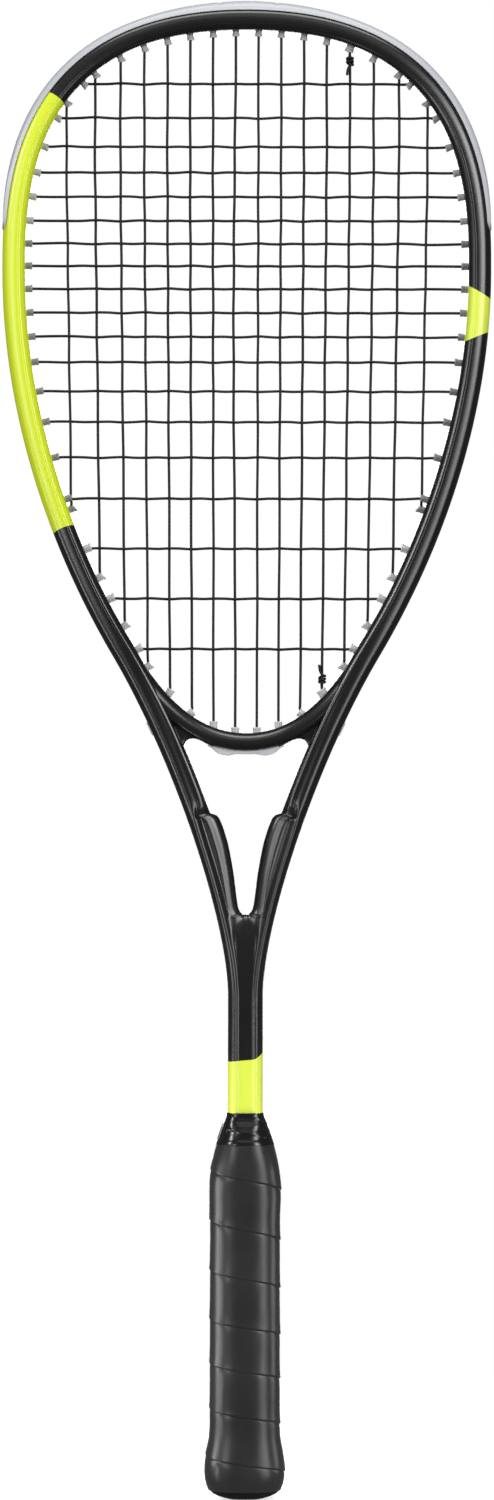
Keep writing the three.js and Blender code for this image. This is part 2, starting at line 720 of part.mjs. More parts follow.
/** The stepped rubber collar. */
function gripCollar() {
  const outside = filled([[12.6, 163.5], [9.9, 171.6], [9.0, 171.8], [8.9, 176.3]]);
  const room = filled([[11.65, 160.6], [10.9 + GAP, 163.3], [9.5 + GAP, 170.8]]);
  return geometryOf(cut(solid(outside), [room, shaftRoom(150, 190)]));
}

/** The foam plug in the foot of the hollow shaft. */
const shaftPlug = () => prism([[-5, -6], [5, -6], [5, 6], [-5, 6]], SHAFT_END_Z + GAP, 18);

// ---------- materials ----------

const material = (color, roughness, metalness = 0, extra = {}) =>
  new THREE.MeshStandardMaterial({ color, roughness, metalness, ...extra });
const LACQUER = material(0x17181a, 0.28);
const GREY_NYLON = material(0x6f7274, 0.55);
const CLEAR_NYLON = material(0xd9dcdc, 0.35, 0, { transparent: true, opacity: 0.8 });
const STRING_BLACK = material(0x202123, 0.4);
const FOAM = material(0xb9a67c, 0.9);
const CAP_PLASTIC = material(0x1b1b1c, 0.6);
const WRAP_PU = material(0x3b3c3b, 0.75);
const TAPE = material(0x151516, 0.35);
const RUBBER = material(0x1d1d1f, 0.45);
const STEEL = material(0xb8babd, 0.3, 1);

// ---------- assembly ----------

const racket = new THREE.Group();

function addPiece(name, geometry, surface) {
  const mesh = new THREE.Mesh(geometry, surface);
  mesh.name = name;
  racket.add(mesh);
}

addPiece('racket_frame', racketFrame(), LACQUER);
addPiece('throat_bridge', throatBridge(), LACQUER);
addPiece('bumper_guard', bumperGuard(), GREY_NYLON);
addPiece('side_grommet_strip_left', grommetStrip(-1, STRIP_JOINT_Z, GUARD_END_Z), GREY_NYLON);
addPiece('side_grommet_strip_right', grommetStrip(1, STRIP_JOINT_Z, GUARD_END_Z), GREY_NYLON);
addPiece('lower_grommet_strip_left', grommetStrip(-1, STRIP_END_Z, STRIP_JOINT_Z), CLEAR_NYLON);
addPiece('lower_grommet_strip_right', grommetStrip(1, STRIP_END_Z, STRIP_JOINT_Z), CLEAR_NYLON);
addPiece('bridge_grommet_strip', bridgeStrip(), CLEAR_NYLON);
addPiece('string', racketString(), STRING_BLACK);
addPiece('pallet_front', pallet(-1), FOAM);
addPiece('pallet_back', pallet(1), FOAM);
addPiece('shaft_end_plug', shaftPlug(), FOAM);
addPiece('butt_cap', buttCap(), CAP_PLASTIC);
for (const [side, direction] of Object.entries(STAPLE_SIDES)) {
  addPiece(`cap_staple_${side}`, staple(direction), STEEL);
}
addPiece('grip_wrap', gripWrap(), WRAP_PU);
addPiece('finishing_tape', finishingTape(), TAPE);
addPiece('grip_collar', gripCollar(), RUBBER);

export default racket;
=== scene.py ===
"""Squash racket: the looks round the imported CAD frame.

Shapes are worked out in millimetres and written in metres."""

import math

import bmesh
import bpy
import numpy as np
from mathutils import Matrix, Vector, noise


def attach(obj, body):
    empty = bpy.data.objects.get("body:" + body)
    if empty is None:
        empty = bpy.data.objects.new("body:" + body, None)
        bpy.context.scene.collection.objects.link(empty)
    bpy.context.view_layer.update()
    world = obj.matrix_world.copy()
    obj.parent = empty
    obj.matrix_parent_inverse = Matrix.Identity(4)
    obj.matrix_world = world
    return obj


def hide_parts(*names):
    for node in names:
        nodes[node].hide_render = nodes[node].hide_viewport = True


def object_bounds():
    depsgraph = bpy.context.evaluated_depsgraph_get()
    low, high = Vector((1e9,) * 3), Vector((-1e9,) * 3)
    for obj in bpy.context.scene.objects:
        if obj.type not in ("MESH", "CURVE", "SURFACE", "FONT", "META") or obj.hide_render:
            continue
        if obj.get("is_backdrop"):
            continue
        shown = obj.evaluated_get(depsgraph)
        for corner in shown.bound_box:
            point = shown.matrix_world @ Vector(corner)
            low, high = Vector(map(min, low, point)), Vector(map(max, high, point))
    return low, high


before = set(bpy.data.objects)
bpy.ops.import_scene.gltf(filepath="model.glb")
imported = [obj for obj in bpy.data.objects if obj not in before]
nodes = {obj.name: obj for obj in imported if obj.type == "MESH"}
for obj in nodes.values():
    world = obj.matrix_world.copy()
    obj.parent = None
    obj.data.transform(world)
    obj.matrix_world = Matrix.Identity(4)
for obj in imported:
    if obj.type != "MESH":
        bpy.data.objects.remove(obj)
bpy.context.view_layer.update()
MM = 0.001

# ---------- driving dimensions, in millimetres ----------

SHAFT_X = 2.55
SHAFT_FOOT = 6.0
SHAFT_TOP_Z = 230.0
SIDE = (56.5, 388.5)
WIDEST = (106.3, 561.5)
APEX = (0.0, 676.4)
LEG = ((SHAFT_X, SHAFT_TOP_Z), (SHAFT_X, 263.9), (26.9, 338.3), SIDE)
FLANK = (SIDE, (85.3, 437.3), (106.3, 497.9), WIDEST)
CROWN = (WIDEST, (106.3, 588.8), (109.0, 676.4), APEX)
TUBE_HALF = 5.45
INNER_TRIM = 0.45
SHOULDER_WAIST = 0.5
GROOVE_FLOOR = 2.2
GROOVE_HALF = 3.4
GROOVE_START_Z = 343.0
V_FLOOR_Z = 267.4
THROAT_EDGE = (
    (0, V_FLOOR_Z), (0.9, 267.5), (1.9, 268.0), (2.7, 268.9), (3.25, 270.2), (3.68, 272.1),
    (4.5, 278), (5.5, 286.1), (6.9, 294), (8.2, 300.2), (10.3, 307.0), (11.7, 310.4), (12.7, 312.1),
    (14.4, 313.3), (16.0, 313.8), (17.0, 314.5), (17.9, 315.8), (18.6, 317.4),
)
MAINS = 16
MAIN_PITCH = 10.12
MAIN_PITCH_GROWTH = 2.5e-5
MAIN_FAN = 0.0002
FAN_CENTRE_Z = 466
FAN_TOP_Z = 610
CROSS_HEIGHTS = (
    647.4, 631.8, 618.6, 606.8, 595.7, 584.7, 574.2, 564.0, 553.5, 542.6,
    531.6, 520.0, 506.6, 492.6, 476.3, 457.5, 434.6, 411.7, 388.7,
)
STRING_RADIUS = 0.62
STRING_LEVEL = 4.25
TAIL_LEVEL = 5.75
STRAY_MAIN = 8  # one main has slipped sideways between the crosses
LANE = 1.35
TIE_SHIFT = 0.74
STRIP_FLOOR = 2.5
STRIP_TOP = 3.3
GUARD_END_Z = 580
STRIP_JOINT_Z = 443
STRIP_END_Z = 343
BRIDGE_TOP = ((60.2, 405.4), (49.3, 385.1), (31.75, 350.3), (0, 350.3))
BAR_HEIGHT = 8.0
UNPAINTED = 5000  # a run far beyond every painted band
WRAP_PROFILE = (
    (16.4, 4.2), (17.4, 5.8), (18.3, 9.5), (18.5, 13), (18.3, 17), (17.3, 23), (16.4, 28), (16.1, 34),
    (16.1, 128), (16.5, 138), (16.4, 145), (15.9, 150), (15.2, 154), (14.3, 158), (13.3, 162), (12.9, 163.4),
)
WRAP_TOP = 163.4
WRAP_FOOT = 4.2

# ---------- small tools ----------


def smooth(t):
    t = np.clip(t, 0, 1)
    return t * t * (3 - 2 * t)


def ramp(x, low, high):
    """0 at low and 1 at high, which may be the smaller of the two."""
    return smooth((np.asarray(x, float) - low) / (high - low))


def part_way(share, low, high):
    """low at share 0 and high at share 1."""
    return low * (1 - share) + high * share


def eased(x, knots, values, reach=4.0):
    """A broken line through the knots with its corners rounded over the reach."""
    x = np.asarray(x, float)
    return sum(np.interp(x + reach * k / 3, knots, values) for k in range(-3, 4)) / 7


def bezier(points, count):
    a, b, c, d = (np.array(p, float) for p in points)
    t = np.linspace(0, 1, count)[:, None]
    return a * (1 - t) ** 3 + 3 * b * t * (1 - t) ** 2 + 3 * c * t * t * (1 - t) + d * t ** 3


def spline(control, per):
    """Points of a smooth curve through control points; control is (..., K, 2 or 3)."""
    p = np.asarray(control, float)
    first = 2 * p[..., :1, :] - p[..., 1:2, :]
    last = 2 * p[..., -1:, :] - p[..., -2:-1, :]
    e = np.concatenate([first, p, last], axis=-2)
    out = []
    for i in range(p.shape[-2] - 1):
        a, b, c, d = (e[..., i + k, :] for k in range(4))
        for k in range(per):
            t = k / per
            out.append(0.5 * (2 * b + (c - a) * t + (2 * a - 5 * b + 4 * c - d) * t * t
                              + (3 * b - a - 3 * c + d) * t ** 3))
    out.append(p[..., -1, :])
    return np.stack(out, axis=-2)


class Skin:
    """Vertices, faces and per-vertex attributes of one piece, in millimetres."""

    def __init__(self):
        self.points, self.faces, self.marks = [], [], {}
        self.count = 0

    def lattice(self, grid, wrap_v=False, **marks):
        """Quads between the rows and columns of a (U, V, 3) grid."""
        grid = np.asarray(grid, float)
        u, v = grid.shape[:2]
        base = self.count
        self.points.append(grid.reshape(-1, 3))
        self.count += u * v
        for name, values in marks.items():
            self.marks.setdefault(name, []).append(np.broadcast_to(values, (u, v)).reshape(-1))
        for i in range(base, base + (u - 1) * v, v):
            for j in range(v if wrap_v else v - 1):
                beside = (j + 1) % v
                self.face((i + j, i + beside, i + v + beside, i + v + j))

    def closed(self, rings):
        """A lattice of rings with its first and last ring filled in."""
        base, size = self.count, len(rings[0])
        self.lattice(rings, wrap_v=True)
        self.face(range(base, base + size))
        self.face(range(self.count - size, self.count))

    def face(self, indices):
        self.faces.append(tuple(indices))

    def build(self, name, sharp, merge=0.002):
        mesh = bpy.data.meshes.new(name)
        mesh.from_pydata((np.vstack(self.points) * MM).tolist(), [], self.faces)
        for mark, rows in self.marks.items():
            layer = mesh.attributes.new(mark, "FLOAT", "POINT")
            layer.data.foreach_set("value", np.concatenate(rows).astype(np.float32))
        bm = bmesh.new()
        bm.from_mesh(mesh)
        bmesh.ops.remove_doubles(bm, verts=bm.verts, dist=merge * MM)
        bmesh.ops.dissolve_degenerate(bm, dist=1e-7, edges=bm.edges)
        bmesh.ops.recalc_face_normals(bm, faces=bm.faces)
        bm.to_mesh(mesh)
        bm.free()
        mesh.shade_smooth()
        mesh.set_sharp_from_angle(angle=math.radians(sharp))
        piece = bpy.data.objects.new(name, mesh)
        bpy.context.scene.collection.objects.link(piece)
        return piece


def finished(piece, material, slot, *replaced):
    piece.data.materials.clear()
    piece.data.materials.append(material)
    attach(piece, "root")
    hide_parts(*replaced)
    return piece


# ---------- the hairpin's centre line: s runs from the top of the shaft to the apex ----------

line = np.vstack([bezier(LEG, 500), bezier(FLANK, 500)[1:], bezier(CROWN, 500)[1:]])
line_s = np.concatenate([[0], np.cumsum(np.hypot(*np.diff(line, axis=0).T))])
line_run = np.gradient(line, line_s, axis=0)
line_run /= np.hypot(*line_run.T)[:, None]
line_run[0] = (0, 1)
line_run[-1] = (-1, 0)
S_APEX = line_s[-1]
S_WIDEST = line_s[np.argmax(line[:, 0])]


def centre(s):
    """Centre point (x, z) and outward direction of the right half at s; the shaft has s below 0."""
    s = np.asarray(s, float)
    x = np.interp(s, line_s, line[:, 0])
    z = np.where(s < 0, SHAFT_TOP_Z + s, np.interp(s, line_s, line[:, 1]))
    run = np.stack([np.interp(s, line_s, line_run[:, k]) for k in (0, 1)], -1)
    run /= np.hypot(run[..., 0], run[..., 1])[..., None]
    return x, z, run[..., 1], -run[..., 0]


def s_at(z):
    return float(np.interp(z, line[:, 1], line_s))


def off(s, n, side=1):
    """The point (x, z) that lies n outside the centre line."""
    x, z, nx, nz = centre(s)
    return np.array([side * (x + nx * n), z + nz * n])


# ---------- frame tube ----------


THROAT_CURVE = spline(THROAT_EDGE, 6)
WEB_Z = 300  # a height between the V's floor and the throat's arch


def throat_reach(s):
    """Distance from the centre line inwards to the throat's edge, and at most to the middle."""
    x, z, nx, nz = (float(v) for v in centre(s))
    to_middle = x / nx
    reaches = []
    for (ax, az), (bx, bz) in zip(THROAT_CURVE[:-1], THROAT_CURVE[1:]):
        # the ray is (x - t nx, z - t nz)
        ux, uz = bx - ax, bz - az
        det = nz * ux - nx * uz
        if abs(det) < 1e-12:
            continue
        t = ((ax - x) * uz - (az - z) * ux) / det
        share = (x - nx * t - ax) / ux if abs(ux) > abs(uz) else (z - nz * t - az) / uz
        if t > 0 and -1e-6 <= share <= 1 + 1e-6:
            reaches.append(t)
    if not reaches:
        reaches = [to_middle if z - to_middle * nz < WEB_Z else TUBE_HALF]
    return min(*reaches, to_middle)


def edge_depth(distance):
    """Half depth of the throat's web at a distance from its edge."""
    return np.interp(distance, (0, 0.3, 0.7, 1.4, 2.5, 4.0, 5.5, 7.0, 9.0, 14.0),
                     (2.6, 3.7, 4.5, 5.35, 6.1, 6.65, 7.1, 7.4, 7.9, 8.4))


def shoulder(s):
    """1 on the shoulders of the hoop, where the tube is slimmest, and 0 far from them."""
    return ramp(s, s_at(590), s_at(640)) * ramp(s, S_APEX - 8, S_APEX - 55)


def frame_stations():
    low, high = 0.0, s_at(300)
    for _ in range(50):
        middle = (low + high) / 2
        x, z, nx, nz = (float(v) for v in centre(middle))
        if z - x / nx * nz < V_FLOOR_Z:
            low = middle
        else:
            high = middle
    v_station = (low + high) / 2
    shaft = -np.arange(SHAFT_TOP_Z - SHAFT_FOOT, 0, -7.0)
    foot = np.arange(0, v_station - 8, 2.0)
    lip = v_station - np.array([8, 6.5, 5.2, 4.2, 3.4, 2.8, 2.2, 1.7, 1.3, 1.0, 0.7, 0.5, 0.3, 0.15, 0.05])
    above = v_station + np.array([0, 0.02, 0.06, 0.12, 0.2, 0.32, 0.46, 0.62, 0.8, 1.0,
                                  1.3, 1.7, 2.2, 3, 4, 5.2])
    web = np.arange(v_station + 7, s_at(304), 2.0)
    step = np.arange(s_at(304) + 0.5, s_at(319), 0.35)
    leg = np.arange(s_at(319) + 0.6, s_at(342), 1.8)
    groove = s_at(GROOVE_START_Z) + np.array([-0.8, -0.2, 0, 0.2, 0.8])
    rest = np.linspace(s_at(346), S_APEX, 190)
    return np.concatenate([shaft, foot, lip, above, web, step, leg, groove, rest]), v_station


def frame_sections(stations, v_station):
    """Front half of each section as (n, depth) points from the inner edge to the groove's middle."""
    x, z, nx, nz = centre(stations)
    inner = TUBE_HALF - INNER_TRIM * ramp(z, 380, 420) - SHOULDER_WAIST * shoulder(stations)
    below = stations < v_station - 1e-6
    near = (stations < s_at(322)) & (stations >= v_station - 1e-6)
    inner[below] = (x / nx)[below]
    inner[near] = [max(TUBE_HALF, throat_reach(s)) if zz > 305 else throat_reach(s)
                   for s, zz in zip(stations[near], z[near])]
    inner[stations == v_station] = (x / nx)[stations == v_station]
    edge_z = z - inner * nz
    knots = (230, 250, 262, 275, 300, 311, 318, 345, 375, 400)
    table = {
        "a1": (0.7, 1.0, 0.9, 0.7, 0.7, 0.7, 0.35, 0.35, 0.35, 0.35),
        "a2": (1.3, 2.1, 2.1, 2.2, 2.5, 2.3, 1.1, 1.1, 1.1, 1.15),
        "ac": (2.0, 3.2, 3.6, 3.9, 4.9, 4.6, 2.15, 2.15, 2.3, 2.45),
        "aw": (2.6, 3.9, 4.6, 4.9, 6.5, 6.3, 3.2, 3.2, 3.2, 3.25),
        "n3": (0.8, 0.6, 0.2, -0.3, -0.6, -0.8, -1.3, -1.3, -1.1, -0.8),
        "n4": (2.3, 2.4, 2.4, 2.5, 2.4, 2.1, 1.2, 0.9, 1.2, 1.4),
        "n5": (4.2, 4.2, 4.2, 4.2, 4.2, 4.0, 3.4, 3.1, 3.2, 3.3),
        "n6": (5.15, 5.15, 5.15, 5.15, 5.15, 5.15, 5.0, 4.9, 4.8, 4.7),
        "d3": (8.55, 8.3, 7.7, 6.8, 6.75, 6.9, 8.6, 8.72, 8.95, 9.2),
        "d4": (9.2, 9.2, 9.15, 9.1, 9.1, 9.1, 9.0, 8.98, 8.9, 8.8),
        "d5": (7.9, 7.9, 7.9, 7.8, 7.8, 7.8, 8.15, 8.22, 8.1, 7.95),
        "d6": (5.8, 5.8, 5.7, 5.6, 5.6, 5.7, 5.9, 6.0, 6.1, 6.15),
    }
    k = {name: eased(z, knots, values, 3) for name, values in table.items()}
    slip = np.where(below, np.maximum(V_FLOOR_Z - edge_z, 0), 0)
    as_leg = ramp(edge_z, 312.0, 318.0)
    as_hoop = ramp(z, 350, 395)
    leg_d = [3.6 - 0.2 * as_hoop, 6.0 + 0.1 * as_hoop, 7.9 - 0.15 * as_hoop, 8.5 + 0.35 * as_hoop,
             8.6 + 0.43 * as_hoop]
    from_edge = (0 * slip, k["a1"], k["a2"], k["ac"], k["aw"])
    web_d = [edge_depth(np.hypot(slip, a)) for a in from_edge]
    n = [a - inner for a in from_edge]
    n += [np.maximum(k["n3"], n[-1] + 0.6), k["n4"], k["n5"], k["n6"], TUBE_HALF + 0 * z]
    d = [part_way(as_leg, web, leg) for web, leg in zip(web_d, leg_d)]
    d += [k["d3"], k["d4"], k["d5"], k["d6"], 4.0 + 0 * z]
    face = spline(np.stack([np.stack(n, -1), np.stack(d, -1)], -1), 4)
    grooved = ramp(stations, s_at(GROOVE_START_Z) - 0.3, s_at(GROOVE_START_Z) + 0.3)
    deep = TUBE_HALF - GROOVE_FLOOR
    # how far each point sinks into the groove, and its half depth without the groove and with it
    rim = [(0.1, 3.7, 3.7), (0.35, 3.5, GROOVE_HALF), (deep - 0.5, 2.6, GROOVE_HALF),
           (deep, 2.0, GROOVE_HALF - 0.4), (deep, 1.0, 1.0), (deep, 0, 0)]
    rim = np.stack([np.stack([TUBE_HALF - sink * grooved, part_way(grooved, plain, cut)], -1)
                    for sink, plain, cut in rim], 1)
    return np.concatenate([face, rim], 1), inner


def frame_shell():
    stations, v_station = frame_stations()
    sections, inner = frame_sections(stations, v_station)
    x, z, nx, nz = centre(stations)
    v_index = int(np.argmin(abs(stations - v_station)))
    skin = Skin()
    n, d = sections[..., 0], sections[..., 1]
    px = x[:, None] + nx[:, None] * n
    px[:v_index + 1, 0] = 0
    px[-1] = 0
    pz = z[:, None] + nz[:, None] * n
    run = stations[:, None]
    wall_d = d[v_index:, :1] * np.linspace(-1, 1, 7)
    wall_x, wall_z = px[v_index:, :1] + 0 * wall_d, pz[v_index:, :1] + 0 * wall_d
    for side in (1, -1):
        for face in (-1, 1):
            skin.lattice(np.stack([side * px, face * d, pz], -1), run=run, out=n)
        wall = np.stack([side * wall_x, wall_d, wall_z], -1)
        skin.lattice(wall, run=run[v_index:], out=-inner[v_index:, None])
    # the foot: a flat ring and the pocket that takes the foam plug
    quarter = np.stack([px[0], d[0]], -1)
    outline = np.concatenate([quarter * (1, -1), quarter[::-1][1:],
                              quarter[1:] * (-1, 1), -quarter[::-1][1:-1]])
    angle = np.arctan2(outline[:, 1] / 9, outline[:, 0] / 8)
    pocket = np.stack([np.sign(np.cos(angle)) * abs(np.cos(angle)) ** 0.4 * 5.6,
                       np.sign(np.sin(angle)) * abs(np.sin(angle)) ** 0.4 * 6.8], -1)
    rings = ((outline, SHAFT_FOOT), (pocket, SHAFT_FOOT), (pocket, 19.0), (pocket * 0.02, 19.0))
    rows = [np.column_stack([ring, np.full(len(ring), height)]) for ring, height in rings]
    skin.lattice(rows, wrap_v=True, run=stations[0], out=0)
    return skin.build("frame_shell", sharp=50)


# ---------- throat bridge ----------


def throat_corner(skin, side):
    """The recessed web between the bar and one leg, with the rounded corner of the throat's opening."""
    edge = spline([(15.0, 343.6), (18.2, 345.3), (21.3, 346.9), (23.9, 347.6), (26.1, 347.3), (27.7, 345.9),
                   (28.6, 343.4), (28.3, 340.2)], 4)
    far = spline([(15.0, 348.0), (22.0, 350.6), (30.0, 356.0), (38.0, 366.5), (46.5, 381.0), (44.5, 375.0),
                  (38.5, 362.0), (32.0, 347.0)], 4)
    into = far - edge
    into /= np.hypot(*into.T)[:, None]
    rows = [(0.0, 0.0), (0.0, 3.2), (0.12, 4.2), (0.5, 4.9), (1.2, 5.25), (2.6, 5.35)]
    layers = [(edge + into * n, d) for n, d in rows] + [(far, rows[-1][1])]
    for face in (-1, 1):
        grid = [np.column_stack([side * p[:, 0], np.full(len(p), face * d), p[:, 1]]) for p, d in layers]
        skin.lattice(grid, run=UNPAINTED, out=0)


def bridge_bar():
    top = bezier(BRIDGE_TOP, 60)[::-1]  # from the middle to the right leg
    run = np.gradient(top, axis=0)
    run /= np.hypot(*run.T)[:, None]
    run[0] = (1, 0)
    down = np.stack([run[:, 1], -run[:, 0]], -1)  # outward and down
    merge = ramp(top[:, 1], 385, 404)
    profile = ((0, 0), (0, 2.6), (-0.1, 4.0), (-0.6, 5.5), (-1.4, 6.6), (-2.5, 7.45), (-4.0, 8.1),
               (-5.7, 8.1), (-7.2, 7.1), (-7.9, 5.9),
               (-BAR_HEIGHT, 4.9), (-BAR_HEIGHT, 2.5), (-BAR_HEIGHT, 0))
    n, depth = spline(profile, 3).T
    d = depth * (1 - 0.1 * merge)[:, None]
    px = top[:, :1] - down[:, :1] * n
    pz = top[:, 1:] - down[:, 1:] * n
    px[0] = 0
    skin = Skin()
    for side in (1, -1):
        for face in (-1, 1):
            skin.lattice(np.stack([side * px, face * d, pz], -1), run=UNPAINTED, out=n)
        end = np.stack([side * px[-1], d[-1], pz[-1]], -1)
        skin.lattice([end * (1, -1, 1), end], run=UNPAINTED, out=0)
        throat_corner(skin, side)
    return skin.build("bridge_bar", sharp=50)


# ---------- holes for the string ----------


def main_x(i, z):
    u = i - (MAINS + 1) / 2
    even = MAIN_PITCH * u + MAIN_PITCH_GROWTH * u * abs(u) ** 5
    return even * (1 + MAIN_FAN * (np.minimum(z, FAN_TOP_Z) - FAN_CENTRE_Z))


dense = np.linspace(0, S_APEX, 6000)
HUG = 1.5  # how far a string leans to the side of a barrel that it leaves at a right angle
CUT = 1.2  # how far such a barrel is cut back on that side
BITE = 2.0  # how far behind the tip the string leaves it there
BARREL_TIP = 1.7  # the length of a barrel's flared tip, which is all that is cut back


def barrel_reach(s):
    """Distance from the centre line to a barrel's tip: short at the crown, long in the lower head."""
    return np.interp(s, (s_at(400), s_at(450), s_at(540), s_at(600), s_at(640)), (8.6, 8.5, 8.1, 8.0, 7.2))


def leaning(s, towards):
    """The part of the direction towards that is square to the barrel at s of the right half."""
    _, _, nx, nz = centre(s)
    along = -(nx * towards[0] + nz * towards[1])
    return np.stack([towards[0] + along * nx, towards[1] + along * nz], -1)


def exits(s, towards):
    """Where a string that runs in the direction towards leaves the barrel at s of the right half."""
    s = np.asarray(s, float)
    _, _, nx, nz = centre(s)
    x, z = off(s, -barrel_reach(s))
    lean = leaning(s, towards)
    back = BITE * np.hypot(lean[..., 0], lean[..., 1])
    return np.stack([x + nx * back, z + nz * back], -1) + HUG * lean


UP, DOWN, INWARD = (0, 1), (0, -1), (-1, 0)


def first_root(values, low, high):
    inside = np.where((dense >= low) & (dense <= high))[0]
    for a, b in zip(inside[:-1], inside[1:]):
        if values[a] * values[b] <= 0:
            share = values[a] / (values[a] - values[b])
            return dense[a] + (dense[b] - dense[a]) * share
    raise ValueError("no hole there")


def square_hole(s, side, towards):
    exit_point = exits(s, towards) * (side, 1)
    return {"s": s, "side": side, "tip": off(s, -barrel_reach(s), side), "exit": exit_point,
            "mouth": off(s, STRIP_TOP + 0.3, side), "lean": leaning(s, towards) * (side, 1)}


def straight_hole(i, tip_z, mouth_z, in_leg):
    side = 1 if i > MAINS / 2 else -1
    leaves = np.array([main_x(i, tip_z), tip_z])
    if not in_leg:
        mouth = np.array([main_x(i, mouth_z), mouth_z])
        return {"s": None, "side": side, "tip": leaves, "exit": leaves, "mouth": mouth}
    s = s_at(mouth_z)
    mouth = off(s, STRIP_TOP + 0.3, side)
    axis = (leaves - mouth) / np.linalg.norm(leaves - mouth)
    tip = leaves - HUG * (np.array(UP) - axis[1] * axis)
    return {"s": s, "side": side, "tip": tip, "exit": leaves, "mouth": mouth}


# the lowest mains: the heights of the barrel's tip and mouth, and whether it stands in the leg
LOW_TIPS = {9: (352.9, 342.4, False), 10: (355.6, 343.6, False),
            11: (361.0, 350.5, True), 12: (370.5, 357.0, True)}
top_holes, bottom_holes = {}, {}
for i in range(9, 17):
    top_x, top_z = exits(dense, DOWN).T
    low_x, low_z = exits(dense, UP).T
    top = first_root(top_x - main_x(i, top_z), S_WIDEST, S_APEX)
    for k, side in ((i, 1), (17 - i, -1)):
        top_holes[k] = square_hole(top, side, DOWN)
        if i in LOW_TIPS:
            bottom_holes[k] = straight_hole(k, *LOW_TIPS[i])
        else:
            low = first_root(low_x - main_x(i, low_z), s_at(350), S_WIDEST)
            bottom_holes[k] = square_hole(low, side, UP)
side_z = exits(dense, INWARD)[:, 1]
cross_s = [first_root(side_z - z, s_at(350), S_APEX) for z in CROSS_HEIGHTS]
cross_holes = {side: [square_hole(s, side, INWARD) for s in cross_s] for side in (-1, 1)}
TOP_TIE = 13
BOTTOM_TIE = 12
top_holes[TOP_TIE]["tie"] = True
bottom_holes[BOTTOM_TIE]["tie"] = True
all_holes = [*top_holes.values(), *bottom_holes.values(), *cross_holes[-1], *cross_holes[1]]

# ---------- string ----------


def at(p, y=0.0):
    return [float(p[0]), float(y), float(p[1])]


def groove_run(a, b, y, level=STRING_LEVEL):
    """Points in the groove from hole a to hole b; they may lie on different sides of the apex."""
    start = a["s"] if a["side"] > 0 else 2 * S_APEX - a["s"]
    end = b["s"] if b["side"] > 0 else 2 * S_APEX - b["s"]
    way = 1 if end > start else -1
    start, end = start + way * 1.2, end - way * 1.2
    count = max(2, int(abs(end - start) / 3) + 1)
    points = []
    for s in np.linspace(start, end, count):
        side = 1 if s <= S_APEX else -1
        points.append(at(off(min(s, 2 * S_APEX - s), level, side), y))
    return points


bridge_curve = bezier(BRIDGE_TOP, 400)[::-1]


def bridge_z(x):
    """Height of the bridge's upper edge."""
    return float(np.interp(x, bridge_curve[:, 0], bridge_curve[:, 1]))


def bridge_run(a, b):
    """Points in the channel of the bridge's strip."""
    xs = np.linspace(a["mouth"][0], b["mouth"][0], 11)[1:-1]
    return [at((x, bridge_z(abs(x)) - BAR_HEIGHT - 1)) for x in xs]


def through(hole, outwards, y=0.0):
    run = [at(hole["exit"], y), at(hole["tip"] * 0.6 + hole["mouth"] * 0.4, y), at(hole["mouth"], y)]
    return run if outwards else run[::-1]


def knot(i, hole, way):
    """Turns round the main just inside its hole, then the cut end beside it."""
    first = hole["exit"][1] + way * 2.6
    points = []
    steps = 26
    for k in range(steps + 1):
        angle = math.pi / 2 - k / steps * 2.35 * 2 * math.pi
        z = first + way * k / steps * 3.3
        lean = 0.5 * math.sin(angle + 0.6)
        points.append([main_x(i, z) + 1.3 * math.cos(angle), 1.3 * math.sin(angle), z + way * lean])
    last = np.array(points[-1])
    for x, y, z in ((-1.3, -0.5, 1.0), (-2.1, -0.7, 2.7), (-2.4, -0.7, 5.2)):
        points.append((last + (x, y, way * z)).tolist())
    return points


def sway(i, j, phase):
    return math.sin(2.3 * i + 1.7 * j + phase)


def mains_at(z):
    return [i for i in range(1, MAINS + 1)
            if bottom_holes[i]["exit"][1] < z - 1 and top_holes[i]["exit"][1] > z + 1]


def main_run(i):
    top, bottom = top_holes[i], bottom_holes[i]
    stray = -0.9 if i == STRAY_MAIN else 0.0
    start_z = top["exit"][1] - (3 if "tie" in top else 1.5)
    points = [at((main_x(i, start_z), start_z))]
    for j, z in enumerate(CROSS_HEIGHTS, 1):
        if i in mains_at(z):
            lean = 0.12 * sway(i, j, 0.4) + stray * math.sin(math.pi * float(ramp(z, 400, 668))) ** 0.7
            y = -0.32 if (i + j) % 2 else 0.32
            points.append([main_x(i, z) + lean, y, z])
    end_z = bottom["exit"][1] + 2
    points.append(at((main_x(i, end_z), end_z)))
    y_top = -TIE_SHIFT if "tie" in top else 0
    y_bottom = -TIE_SHIFT if "tie" in bottom else 0
    run = through(top, False, y_top) + points + through(bottom, True, y_bottom)
    return run if i % 2 == 0 else run[::-1]


def cross_run(j):
    z = CROSS_HEIGHTS[j - 1]
    weave = []
    last = None
    for i in mains_at(z):
        y = 0.92 if (i + j) % 2 else -0.92
        x = main_x(i, z)
        if last is not None:
            weave.append([(x + last) / 2, 0.0, z + 0.1 * sway(i, j, 2.0)])
        weave.append([x, y, z + 0.22 * sway(i, j, 0.0)])
        last = x
    points = through(cross_holes[-1][j - 1], False) + weave + through(cross_holes[1][j - 1], True)
    return points if j % 2 else points[::-1]


